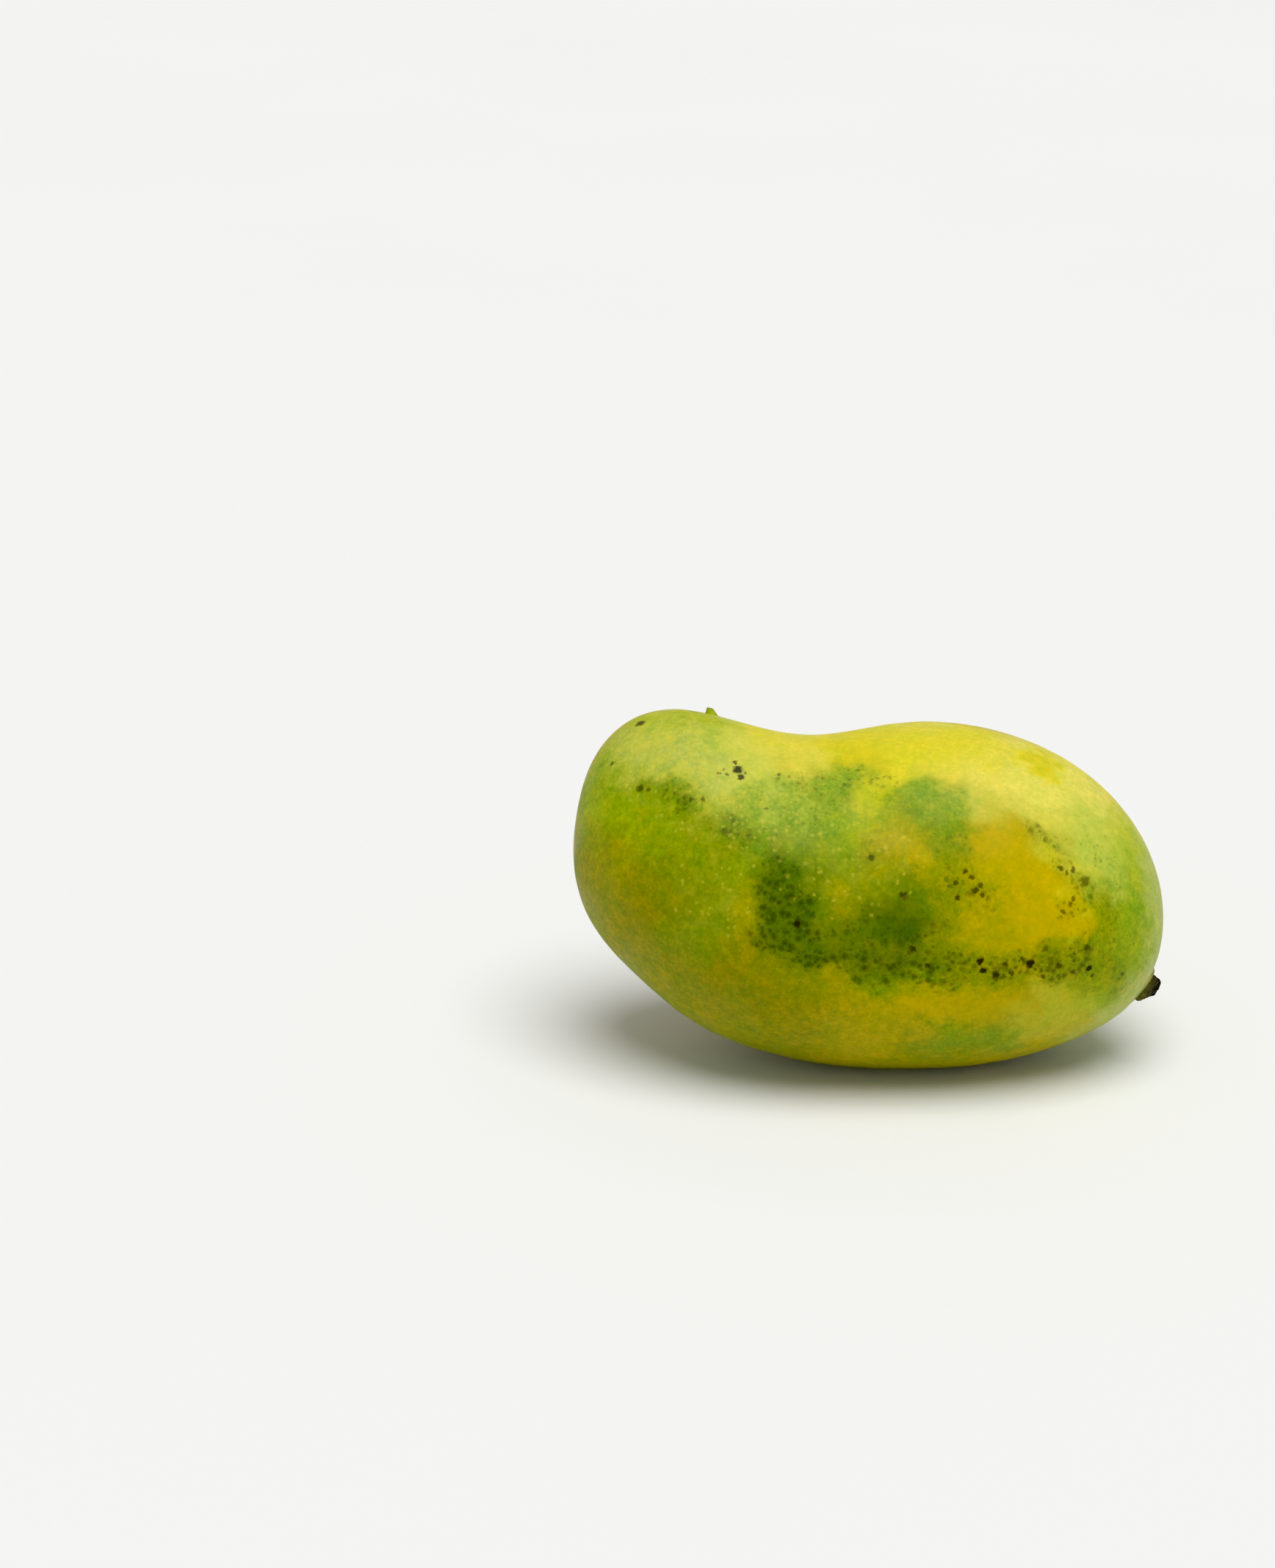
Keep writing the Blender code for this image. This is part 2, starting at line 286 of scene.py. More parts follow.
# The far cheek, which ripened in a pattern of its own.
FAR_SWEEPS = tuple(
    Sweep(coat, reach, path, strength, fade, Cheek.FAR)
    for coat, reach, path, strength, fade in (
        (Tone.OLIVE, 15, ((-50, 4), (-24, 0), (0, -4)), 0.9, 0.85),
        (Tone.OLD_GOLD, 14, ((-40, -20), (-10, -28), (20, -26)), 0.9, 0.85),
        (Tone.LIME, 12, ((-58, 16), (-44, 24), (-34, 18)), 0.9, 0.85),
        (Tone.LEMON, 8, ((-30, 28), (-8, 30), (16, 33)), 0.9, 0.85),
        (Tone.BUTTER, 9, ((14, 33), (34, 29), (50, 17)), 0.9, 0.85),
        (Tone.LIME, 12, ((57, 12), (56, -10)), 0.9, 0.85),
        (Tone.GOLD, 7, ((-6, 12), (6, 8), (16, 12)), 0.85, 0.75),
        (Tone.GOLD, 5, ((30, 2), (40, 6)), 0.85, 0.75),
        (Tone.LEAF, 6, ((-30, 10), (-18, 4)), 0.8, 0.85),
        (Tone.MIST_GREEN, 6, ((18, 22), (34, 18)), 0.75, 0.85),
        (Tone.FOREST, 5, ((-14, -10), (4, -12), (24, -10), (38, -14)), 0.85, 0.85),
        (Tone.MOSS, 5, ((20, -2), (24, -8)), 0.7, 0.85),
        (Tone.STRAW, 4, ((40, -20), (48, -18)), 0.6, 0.85),
        (Mask.SPECKS, 4, ((-16, -12), (6, -14), (26, -12), (40, -14)), 0.85, 0.85),
        (Mask.SPECKS, 3, ((-30, 8), (-20, 4)), 0.5, 0.85),
        (Mask.PORES, 14, ((-46, 18), (-30, 12), (-12, 8)), 0.6, 0.85),
    )
)

# The single marks, each as its place along and up the cheek, its radius in millimetres and its depth.
NEAR_MARKS = (
    (-54.4, 26.2, 1.3, 0.85), (-58.5, 17.0, 0.64, 0.65), (-52.0, 12.8, 0.96, 0.75),
    (-50.4, 12.6, 0.56, 0.6), (-32.4, 20.2, 1.3, 0.95), (-31.4, 18.5, 0.88, 0.9),
    (-33.0, 21.2, 0.56, 0.8), (-34.3, 18.8, 0.48, 0.65), (-30.5, 19.6, 0.48, 0.65),
    (-36.0, 18.4, 0.48, 0.6), (-35.2, 19.6, 0.4, 0.55), (-40.6, 12.4, 0.64, 0.65),
    (-38.8, 12.6, 0.56, 0.65), (-23.5, 20.5, 0.56, 0.65), (-25.0, 13.2, 0.56, 0.6),
    (-33.0, 6.8, 1.12, 0.45), (-2.5, 7.0, 1.0, 0.7), (-15.3, -9.2, 1.1, 1.0), (5.5, 0.0, 1.0, 0.75),
    (17.5, 7.2, 0.64, 0.8), (19.2, 6.4, 0.72, 0.75), (15.8, 4.6, 0.64, 0.65),
    (17.0, 1.8, 0.72, 0.85), (20.0, 4.0, 0.8, 0.8), (21.4, 5.0, 0.72, 0.75), (22.2, 2.8, 0.64, 0.75),
    (37.8, 11.6, 0.72, 0.75), (39.0, 10.6, 0.56, 0.7), (40.4, 11.6, 0.72, 0.75),
    (43.0, 9.4, 1.4, 0.65), (41.5, 5.6, 0.64, 0.65), (40.7, 4.2, 0.64, 0.65),
    (39.8, 2.6, 0.64, 0.65), (46.0, -4.0, 0.96, 0.75), (24.0, -10.5, 0.96, 1.0),
    (24.8, -12.2, 0.96, 1.0), (27.5, -12.8, 0.88, 0.9), (29.4, -10.2, 0.72, 0.85),
    (31.2, -11.8, 0.72, 0.75), (34.8, -9.2, 1.12, 1.0), (32.4, -8.4, 0.72, 0.7),
    (37.6, -11.6, 0.64, 0.65), (40.6, -8.4, 0.8, 0.75), (44.2, -9.4, 0.64, 0.65),
    (47.4, -8.2, 0.96, 1.0), (48.8, -9.6, 0.64, 0.75), (55.5, -8.5, 0.64, 0.65),
    (10.0, -10.5, 0.8, 0.85), (13.2, -13.4, 0.72, 0.85),
)
FAR_MARKS = (
    (-20.0, 14.0, 0.8, 0.85), (-22.0, 12.6, 0.64, 0.75), (8.0, -6.0, 0.72, 0.95),
    (32.0, 12.0, 0.88, 0.85), (33.8, 10.8, 0.56, 0.75), (44.0, -6.0, 0.8, 0.95),
    (22.0, -14.0, 0.88, 1.0), (-46.0, 8.0, 0.88, 0.75),
)
MARKS = tuple(
    Mark((along, up), reach, depth, cheek)
    for cheek, rows in ((Cheek.NEAR, NEAR_MARKS), (Cheek.FAR, FAR_MARKS))
    for along, up, reach, depth in rows
)


class Spline:
    """The smooth curve through a few points, with no bend at its ends."""

    def __init__(self, stations: Sequence[float], heights: Sequence[float]) -> None:
        """Works out how the curve bends at each point.

        Args:
            stations: the points' places, rising.
            heights: the points' heights.
        """
        self.x, self.y = np.array(stations, float), np.array(heights, float)
        self.step = np.diff(self.x)
        slope = np.diff(self.y) / self.step
        count = len(self.x)
        left, right = np.eye(count), np.zeros(count)
        for i in range(1, count - 1):
            before, after = self.step[i - 1], self.step[i]
            left[i, i - 1 : i + 2] = before, 2 * (before + after), after
            right[i] = 6 * (slope[i] - slope[i - 1])
        self.bend = np.linalg.solve(left, right)

    def __call__(self, at: np.ndarray) -> np.ndarray:
        """Reads the curve.

        Args:
            at: the places to read it at.

        Returns:
            The curve's height at each of them.
        """
        i = np.clip(np.searchsorted(self.x, at) - 1, 0, len(self.x) - 2)
        h = self.step[i]
        a, b = self.x[i + 1] - at, at - self.x[i]
        curve = (self.bend[i] * a**3 + self.bend[i + 1] * b**3) / (6 * h)
        left, right = self.y[i] / h - self.bend[i] * h / 6, self.y[i + 1] / h - self.bend[i + 1] * h / 6
        return curve + left * a + right * b


@dataclass(frozen=True)
class Form:
    """The fruit's smooth body in its own axes, the same one that the solid has.

    Attributes:
        length: the body's length along X.
        end_roundness: 2 would make elliptical ends, more makes them blunter.
        sections: one cross-section a row, from the tip to the stalk: its place as a share of the half length,
            then the height of its middle, its half height and its half thickness, in millimetres. The middles'
            heights, the half heights and the body's length weren't chosen by hand: they are the rounded result
            of a least-squares fit to the photograph's outline. The half thicknesses are guesses.
        belly_fullness: how much thicker a section is below its middle, as a share.
        side_sway: how far the long axis bends sideways.
        swell_height: the height of the low swellings of the skin.
        swell_waves: swellings for each half length.
        swell_shift: the stretch of the noise that the fruit takes.
        dimple_depth: the depth of the shallow dimple round the stalk.
        dimple_radius: that dimple's radius.
        beak_station: where the beak stands on the top edge.
        beak_lean: how far it leans from upright towards the tip.
        stalk_station: where the stalk stands on the back edge.
        stalk_drop: how far the stalk points below the long axis.
    """

    length: float = 128.5 * MM
    end_roundness: float = 2.3
    sections: tuple[tuple[float, float, float, float], ...] = (
        (-1.00, 5.1, 43.9, 29.0),
        (-0.75, 2.5, 38.4, 30.5),
        (-0.50, -2.3, 35.9, 31.5),
        (-0.25, -4.0, 35.1, 32.5),
        (0.00, -1.5, 37.3, 33.5),
        (0.25, 0.8, 38.3, 34.0),
        (0.50, 1.8, 38.1, 34.0),
        (0.75, 1.8, 37.3, 33.0),
        (1.00, -0.5, 36.2, 31.0),
    )
    belly_fullness: float = 0.05
    side_sway: float = 0.9 * MM
    swell_height: float = 0.45 * MM
    swell_waves: float = 2.1
    swell_shift: Vector = field(default_factory=lambda: Vector((3.1, 7.4, 1.7)))
    dimple_depth: float = 0.5 * MM
    dimple_radius: float = 5.5 * MM
    beak_station: float = -0.612
    beak_lean: float = math.radians(24)
    stalk_station: float = 0.974
    stalk_drop: float = math.radians(11)

    def body(self, directions: np.ndarray) -> np.ndarray:
        """Blows the unit sphere up into the smooth body.

        Args:
            directions: points of the unit sphere, one a row.

        Returns:
            The body's point for each of them.
        """
        stations, middles, half_heights, half_thicknesses = zip(*self.sections)
        station = np.clip(directions[:, 0], -1, 1)
        ring = np.maximum(np.hypot(directions[:, 1], directions[:, 2]), 1e-12)
        across, up = directions[:, 1] / ring, directions[:, 2] / ring
        rounding = (1 - np.abs(station) ** self.end_roundness) ** (1 / self.end_roundness)
        fullness = 1 - self.belly_fullness * up
        thickness = Spline(stations, half_thicknesses)(station) * rounding * across * fullness
        height = Spline(stations, middles)(station) + Spline(stations, half_heights)(station) * rounding * up
        sway = self.side_sway * np.sin(np.pi * station)
        return np.column_stack((self.length / 2 * station, thickness * MM + sway, height * MM))

    def edge(self, station: float, up: int) -> Vector:
        """The body's point on its top edge (up is 1) or its back edge (up is -1) at a station."""
        return Vector(self.body(np.array([[station, 0.0, up * math.sqrt(1 - station**2)]]))[0])

    @property
    def beak(self) -> tuple[Vector, Vector]:
        """The beak's foot on the smooth body and the way it points."""
        axis = Vector((-math.sin(self.beak_lean), 0, math.cos(self.beak_lean)))
        return self.edge(self.beak_station, 1), axis

    @property
    def stalk(self) -> tuple[Vector, Vector]:
        """The stalk's foot on the smooth body and the way it points."""
        axis = Vector((math.cos(self.stalk_drop), 0, -math.sin(self.stalk_drop)))
        return self.edge(self.stalk_station, -1), axis

    def skin(self, directions: np.ndarray) -> np.ndarray:
        """The body with its low swellings and the dimple at the stalk.

        Args:
            directions: points of the unit sphere, one a row.

        Returns:
            The skin's point for each of them.
        """
        points = self.body(directions)
        swell = np.array([noise.noise(Vector(d) * self.swell_waves + self.swell_shift) for d in directions])
        foot, axis = self.stalk
        distance = np.linalg.norm(points - np.array(foot), axis=1)
        dimple = self.dimple_depth * np.exp(-((distance / self.dimple_radius) ** 2))
        return points + directions * (swell * self.swell_height)[:, None] - np.outer(dimple, np.array(axis))


@dataclass(frozen=True)
class Pose:
    """How the fruit lies.

    Attributes:
        stem_dip: how far the stalk end is tipped below the other.
        lean_back: how far the near cheek is turned upwards.
        flat_depth: how far the fruit is sunk by its flat spot.
    """

    stem_dip: float = math.radians(10)
    lean_back: float = math.radians(20)
    flat_depth: float = 0.9 * MM

    def matrix(self, skin: np.ndarray) -> Matrix:
        """Fits the turned skin to the place of the fruit's solid.

        Args:
            skin: the skin's points in the fruit's own axes.

        Returns:
            The matrix from the fruit's own axes to the frame.
        """
        turn = Matrix.Rotation(-self.lean_back, 4, "X") @ Matrix.Rotation(self.stem_dip, 4, "Y")
        turned = skin @ np.array(turn.to_3x3()).T
        low, high = turned.min(axis=0), turned.max(axis=0)
        box_low, box_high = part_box("mango_fruit")
        shift = (np.array(box_low) + np.array(box_high) - low - high) / 2
        shift[2] = -low[2] - self.flat_depth
        return Matrix.Translation(Vector(shift)) @ turn


def polar(points: np.ndarray, foot: Vector, axis: Vector) -> tuple[np.ndarray, np.ndarray]:
    """Measures points from an axis.

    Args:
        points: the points, one a row.
        foot: the axis's foot.
        axis: the way it points.

    Returns:
        How far each point is from the axis, and how far along it.
    """
    offset = points - np.array(foot)
    along = offset @ np.array(axis)
    return np.linalg.norm(offset - np.outer(along, np.array(axis)), axis=1), along


def make_piece(name: str, bm: bmesh.types.BMesh, material: bpy.types.Material) -> bpy.types.Object:
    """Makes a smooth-shaded object at the origin out of a bmesh.

    Args:
        name: the object's name.
        bm: the shape, which is freed.
        material: its material.

    Returns:
        The object.
    """
    mesh = bpy.data.meshes.new(name)
    bm.to_mesh(mesh)
    bm.free()
    mesh.shade_smooth()
    mesh.materials.append(material)
    piece = bpy.data.objects.new(name, mesh)
    bpy.context.scene.collection.objects.link(piece)
    return piece


@dataclass(frozen=True)
class Ramp:
    """A smooth way from one value to another.

    Attributes:
        low: what leads to the start value, with all below it.
        high: what leads to the end value, with all above it.
        start: the first value.
        end: the last value.
    """

    low: float
    high: float
    start: float = 0.0
    end: float = 1.0


class Wiring:
    """Short ways to add nodes to a tree and to join them."""

    SPACING = 180

    def __init__(self, tree: bpy.types.NodeTree) -> None:
        """Starts on a tree."""
        self.tree = tree

    def add(self, kind: str, inputs: Mapping[Any, Any] | None = None, **settings: Any) -> bpy.types.Node:
        """Adds a node.

        Args:
            kind: the node's type.
            inputs: what each input takes: a socket to join it to, or a value.
            settings: the node's own properties.

        Returns:
            The node.
        """
        node = self.tree.nodes.new(kind)
        node.location = (self.SPACING * len(self.tree.nodes), 0)
        for name, value in settings.items():
            setattr(node, name, value)
        for name, value in (inputs or {}).items():
            if isinstance(value, Socket):
                self.tree.links.new(value, node.inputs[name])
            else:
                node.inputs[name].default_value = value
        return node

    def math(self, operation: str, *values: Any) -> Socket:
        """Adds a Math node and returns its output."""
        return self.add("ShaderNodeMath", dict(enumerate(values)), operation=operation).outputs[0]

    def vector(self, operation: str, *values: Any, out: str = "Vector") -> Socket:
        """Adds a Vector Math node and returns the output that is asked for."""
        return self.add("ShaderNodeVectorMath", dict(enumerate(values)), operation=operation).outputs[out]

    def scale(self, vector: Any, factor: Any) -> Socket:
        """Multiplies a vector by a number."""
        return self.add("ShaderNodeVectorMath", {0: vector, "Scale": factor}, operation="SCALE").outputs[0]

    def ramp(self, value: Any, low: Any, high: Any, start: Any = 0.0, end: Any = 1.0) -> Socket:
        """Turns a value between low and high smoothly into one between start and end."""
        inputs = {"Value": value, 1: low, 2: high, 3: start, 4: end}
        return self.add("ShaderNodeMapRange", inputs, interpolation_type="SMOOTHSTEP").outputs[0]

    def mix(self, factor: Any, under: Any, over: Any, mode: str = "MIX") -> Socket:
        """Lays one colour over another."""
        inputs = {0: factor, 6: under, 7: over}
        return self.add("ShaderNodeMix", inputs, data_type="RGBA", blend_type=mode).outputs[2]

    def along(self, value: Any, way: Ramp) -> Socket:
        """Turns a value into one on a smooth way."""
        return self.ramp(value, way.low, way.high, way.start, way.end)

    def noise(
        self, point: Any, scale: Any, detail: float = 2.0, rough: float = 0.5, out: str = "Fac"
    ) -> Socket:
        """Adds a Noise Texture and returns the output that is asked for."""
        inputs = {"Vector": point, "Scale": scale, "Detail": detail, "Roughness": rough}
        return self.add("ShaderNodeTexNoise", inputs).outputs[out]

    def shaken(self, point: Any, scale: Any, reach: Any, detail: float) -> Socket:
        """Moves a point by noise that reaches half as far as is given each way.

        Args:
            point: the point.
            scale: the noise's waves per metre.
            reach: from end to end of the way that it can move, in metres.
            detail: the noise's octaves.

        Returns:
            The moved point.
        """
        shake = self.noise(point, scale, detail, out="Color")
        return self.vector("ADD", point, self.scale(self.vector("SUBTRACT", shake, (0.5,) * 3), reach))

    def feed(self, node: bpy.types.Node, sockets: Mapping[str, Socket]) -> None:
        """Joins sockets to a node's inputs."""
        for name, socket in sockets.items():
            self.tree.links.new(socket, node.inputs[name])

    def attribute(self, name: str, out: str = "Fac") -> Socket:
        """Reads a layer that is stored on the mesh."""
        return self.add("ShaderNodeAttribute", attribute_name=name).outputs[out]

    def coordinates(self) -> Socket:
        """Reads the Object coordinates."""
        return self.add("ShaderNodeTexCoord").outputs["Object"]

    def group(self, tree: bpy.types.NodeTree, inputs: Mapping[str, Any]) -> Socket:
        """Places a node group, feeds it and returns its first output."""
        return self.add("ShaderNodeGroup", inputs, node_tree=tree).outputs[0]


def new_group(name: str, inputs: Mapping[str, str], output: tuple[str, str]) -> tuple[Wiring, Any, Any]:
    """Starts a shader node group with named inputs and one output.

    Args:
        name: the group's name.
        inputs: each input's name and socket type.
        output: the output's name and socket type.

    Returns:
        The group's wiring, its input sockets and its output node.
    """
    tree = bpy.data.node_groups.new(name, "ShaderNodeTree")
    for socket, kind in inputs.items():
        tree.interface.new_socket(name=socket, in_out="INPUT", socket_type=kind)
    tree.interface.new_socket(name=output[0], in_out="OUTPUT", socket_type=output[1])
    wiring = Wiring(tree)
    return wiring, wiring.add("NodeGroupInput").outputs, wiring.add("NodeGroupOutput")


def new_material(name: str, values: Mapping[str, Any]) -> tuple[bpy.types.Material, Wiring, bpy.types.Node]:
    """Starts a material.

    Args:
        name: the material's name.
        values: the shader's constants.

    Returns:
        The material, its wiring and its shader.
    """
    material = bpy.data.materials.new(name)
    material.use_nodes = True
    shader = material.node_tree.nodes["Principled BSDF"]
    for socket, value in values.items():
        shader.inputs[socket].default_value = value
    return material, Wiring(material.node_tree), shader


FLOAT, VECTOR = "NodeSocketFloat", "NodeSocketVector"


def flecks_group() -> bpy.types.NodeTree:
    """Small uneven round flecks scattered through space, of which a share shows.

    Returns:
        A group from Point, Spacing, Radius, Share and Blur, in metres and shares, to Mask.
    """
    rag_waves, rag_reach, rag_detail = 2.2, 0.45, 1.0
    smallest, largest = 0.65, 1.25
    inputs = {"Point": VECTOR, "Spacing": FLOAT, "Radius": FLOAT, "Share": FLOAT, "Blur": FLOAT}
    wiring, given, out = new_group("flecks", inputs, ("Mask", FLOAT))
    cells = wiring.math("DIVIDE", 1.0, given["Spacing"])
    waves = wiring.math("MULTIPLY", cells, rag_waves)
    reach = wiring.math("MULTIPLY", given["Spacing"], rag_reach)
    point = wiring.shaken(given["Point"], waves, reach, rag_detail)
    voronoi = wiring.add("ShaderNodeTexVoronoi", {"Vector": point, "Scale": cells})
    lot = wiring.add("ShaderNodeSeparateColor", {0: voronoi.outputs["Color"]}).outputs
    radius = wiring.math("MULTIPLY", given["Radius"], wiring.ramp(lot[1], 0.0, 1.0, smallest, largest))
    distance = wiring.math("MULTIPLY", voronoi.outputs["Distance"], given["Spacing"])
    blur = wiring.math("MULTIPLY", radius, given["Blur"])
    near, far = wiring.math("SUBTRACT", radius, blur), wiring.math("ADD", radius, blur)
    dot = wiring.ramp(distance, near, far, 1.0, 0.0)
    chosen = wiring.math("LESS_THAN", lot[0], given["Share"])
    wiring.tree.links.new(wiring.math("MULTIPLY", dot, chosen), out.inputs[0])
    return wiring.tree


def cloud_group() -> bpy.types.NodeTree:
    """A soft cloudy mottling.

    Returns:
        A group from Point, Size in metres and Edge, which hardens it, to Shade.
    """
    detail, rough = 3.0, 0.55
    softest, hardening = 0.25, 0.2
    inputs = {"Point": VECTOR, "Size": FLOAT, "Edge": FLOAT}
    wiring, given, out = new_group("cloud", inputs, ("Shade", FLOAT))
    waves = wiring.math("DIVIDE", 1.0, given["Size"])
    shade = wiring.noise(given["Point"], waves, detail, rough)
    low = wiring.math("ADD", wiring.math("MULTIPLY", given["Edge"], hardening), softest)
    high = wiring.math("SUBTRACT", 1.0, low)
    wiring.tree.links.new(wiring.ramp(shade, low, high), out.inputs[0])
    return wiring.tree


@dataclass(frozen=True)
class Effects:
    """The node groups that the finishes share."""

    flecks: bpy.types.NodeTree
    cloud: bpy.types.NodeTree


@dataclass(frozen=True)
class Clouds:
    """One soft mottling of a surface.

    Attributes:
        size: of its clouds.
        edge: how hard they are, up to 1.
        strength: how far they change the colour.
        tint: what they multiply the colour by.
    """

    size: float
    edge: float = 0.5
    strength: float = 1.0
    tint: Colour = (1.0, 1.0, 1.0, 1.0)

    def draw(self, wiring: Wiring, effects: Effects, point: Socket) -> Socket:
        """Draws the clouds as shades from 0 to 1."""
        return wiring.group(effects.cloud, {"Point": point, "Size": self.size, "Edge": self.edge})


@dataclass(frozen=True)
class Dots:
    """One kind of small round dot.

    Attributes:
        spacing: between the dots where all of them show.
        radius: of a dot.
        blur: how soft its rim is, up to 1.
        strength: how much it covers.
    """

    spacing: float
    radius: float
    blur: float
    strength: float = 1.0

    def draw(self, wiring: Wiring, effects: Effects, point: Socket, share: Any, radius: Any = None) -> Socket:
        """Draws the dots as shades from 0 to 1.

        Args:
            wiring: the material's wiring.
            effects: the shared node groups.
            point: the Object coordinates.
            share: how many of the dots show.
            radius: a dot's radius where it isn't the same everywhere.

        Returns:
            The shades.
        """
        inputs = {"Point": point, "Spacing": self.spacing, "Share": share, "Blur": self.blur}
        return wiring.group(effects.flecks, inputs | {"Radius": self.radius if radius is None else radius})


@dataclass(frozen=True)
class SkinFinish:
    """Waxy skin: painted ground colours, fine mottling, dark specks, pale pores and single marks.

    Attributes:
        roughness: from the smooth wax to the dullest skin.
        gloss: the clouds between the two.
        specular: how strongly it mirrors.
        sheen: the haze of the bloom at glancing angles.
        sheen_roughness: how wide that haze is.
        mottles: the fine mottlings of the ground.
        liveliness: how strong they are, from the redness of the greenest ground to that of the ripest.
        calm: how much of that is left, from the redness of the darkest ground to that of the green one.
        bloom: the pale clouds that lie among the pores.
        bloom_strength: how much those cover, from where no specks are to where they crowd.
        pores: the pale dots.
        pore_depth: how deep they lie, as a share of the grain's height.
        dust: the finest dark dots.
        dust_share: how many of them show, by how far the specks crowd.
        specks: the dark dots.
        speck_radius: a dark dot's radius, by how far they crowd.
        speck_share: how many of them show, by how far they crowd.
        speck_depth: how dark they are, by how far they crowd.
        mark_rag: how ragged the marks' rims are, from end to end of the shaking.
        mark_rag_size: the size of that raggedness.
        mark_rim: from where to where a mark fades, as shares of its radius.
        grain_size: the size of the skin's fine grain.
        grain_detail: its octaves.
        relief: its height.
        speck_colour: of the specks and the dust.
        pore_colour: of the pores and the bloom.
        mark_colour: of the single marks.
    """

    roughness: Ramp = Ramp(0.0, 1.0, 0.42, 0.58)
    gloss: Clouds = Clouds(9 * MM, 0.0)
    specular: float = 0.14
    sheen: float = 0.025
    sheen_roughness: float = 0.5
    mottles: tuple[Clouds, ...] = (
        Clouds(6.0 * MM, 0.5, 0.5, (0.84, 0.97, 0.88, 1.0)),
        Clouds(2.4 * MM, 0.5, 0.6, (0.79, 0.91, 0.85, 1.0)),
        Clouds(1.4 * MM, 0.5, 0.6, (1.19, 1.1, 1.2, 1.0)),
        Clouds(0.8 * MM, 0.5, 0.6, (0.82, 0.87, 0.75, 1.0)),
        Clouds(0.5 * MM, 0.5, 0.45, (1.14, 1.09, 1.3, 1.0)),
    )
    liveliness: Ramp = Ramp(0.28, 0.56, 2.2, 0.76)
    calm: Ramp = Ramp(0.05, 0.22, 0.78, 1.0)
    bloom: Clouds = Clouds(3.0 * MM, 0.6)
    bloom_strength: Ramp = Ramp(0.0, 0.4, 0.32, 0.0)
    pores: Dots = Dots(1.35 * MM, 0.34 * MM, 1.0, 0.36)
    pore_depth: float = 0.6
    dust: Dots = Dots(0.8 * MM, 0.24 * MM, 0.9, 0.35)
    dust_share: Ramp = Ramp(0.02, 0.7, 0.0, 0.7)
    specks: Dots = Dots(1.4 * MM, 0.62 * MM, 0.85)
    speck_radius: Ramp = Ramp(0.1, 0.8, 0.372 * MM, 0.62 * MM)
    speck_share: Ramp = Ramp(0.02, 0.75)
    speck_depth: Ramp = Ramp(0.15, 0.9, 0.3, 0.72)
    mark_rag: float = 1.3 * MM
    mark_rag_size: float = 0.8 * MM
    mark_rim: tuple[float, float] = (0.45, 1.2)
    grain_size: float = 0.9 * MM
    grain_detail: float = 2.0
    relief: float = 0.03 * MM
    speck_colour: Colour = linear(38, 54, 4)
    pore_colour: Colour = linear(226, 211, 68)
    mark_colour: Colour = linear(38, 34, 6)

    def material(self, effects: Effects, marks: Sequence[tuple[Vector, Mark]]) -> bpy.types.Material:
        """Wires the skin's material.

        Args:
            effects: the shared node groups.
            marks: each mark with its place in the frame.

        Returns:
            The material.
        """
        constants = {
            "Specular IOR Level": self.specular,
            "Sheen Weight": self.sheen,
            "Sheen Roughness": self.sheen_roughness,
        }
        material, wiring, shader = new_material("mango_skin", constants)
        point = wiring.coordinates()
        specks, shown = wiring.attribute(Mask.SPECKS.value), wiring.attribute(Mask.PORES.value)
        pore = self.pores.draw(wiring, effects, point, shown)

        ground = self.mottled(wiring, effects, point, wiring.attribute("tone", "Color"))
        bloom = wiring.math("MULTIPLY", self.bloom.draw(wiring, effects, point), shown)
        bloom = wiring.math("MULTIPLY", bloom, wiring.along(specks, self.bloom_strength))
        ground = wiring.mix(bloom, ground, self.pore_colour)
        ground = wiring.mix(wiring.math("MULTIPLY", pore, self.pores.strength), ground, self.pore_colour)
        dust = self.dust.draw(wiring, effects, point, wiring.along(specks, self.dust_share))
        ground = wiring.mix(wiring.math("MULTIPLY", dust, self.dust.strength), ground, self.speck_colour)
        share, radius = wiring.along(specks, self.speck_share), wiring.along(specks, self.speck_radius)
        speck = self.specks.draw(wiring, effects, point, share, radius)
        depth = wiring.along(specks, self.speck_depth)
        ground = wiring.mix(wiring.math("MULTIPLY", speck, depth), ground, self.speck_colour)
        ground = wiring.mix(self.marked(wiring, point, marks), ground, self.mark_colour)

        roughness = wiring.along(self.gloss.draw(wiring, effects, point), self.roughness)
        grain = wiring.noise(point, 1 / self.grain_size, self.grain_detail)
        height = wiring.math("SUBTRACT", grain, wiring.math("MULTIPLY", pore, self.pore_depth))
        bump = wiring.add("ShaderNodeBump", {"Distance": self.relief, "Height": height})
        wiring.feed(shader, {"Base Color": ground, "Roughness": roughness, "Normal": bump.outputs["Normal"]})
        return material

    def mottled(self, wiring: Wiring, effects: Effects, point: Socket, ground: Socket) -> Socket:
        """Lays the mottlings over the ground colour, strongest on the green.

        Args:
            wiring: the material's wiring.
            effects: the shared node groups.
            point: the Object coordinates.
            ground: the painted colour.

        Returns:
            The mottled colour.
        """
        redness = wiring.add("ShaderNodeSeparateColor", {0: ground}).outputs[0]
        calm = wiring.along(redness, self.calm)
        lively = wiring.math("MULTIPLY", wiring.along(redness, self.liveliness), calm)
        for mottle in self.mottles:
            cloud = wiring.math("MULTIPLY", mottle.draw(wiring, effects, point), mottle.strength)
            tinted = wiring.mix(1.0, ground, mottle.tint, "MULTIPLY")
            ground = wiring.mix(wiring.math("MULTIPLY", cloud, lively), ground, tinted)
        return ground

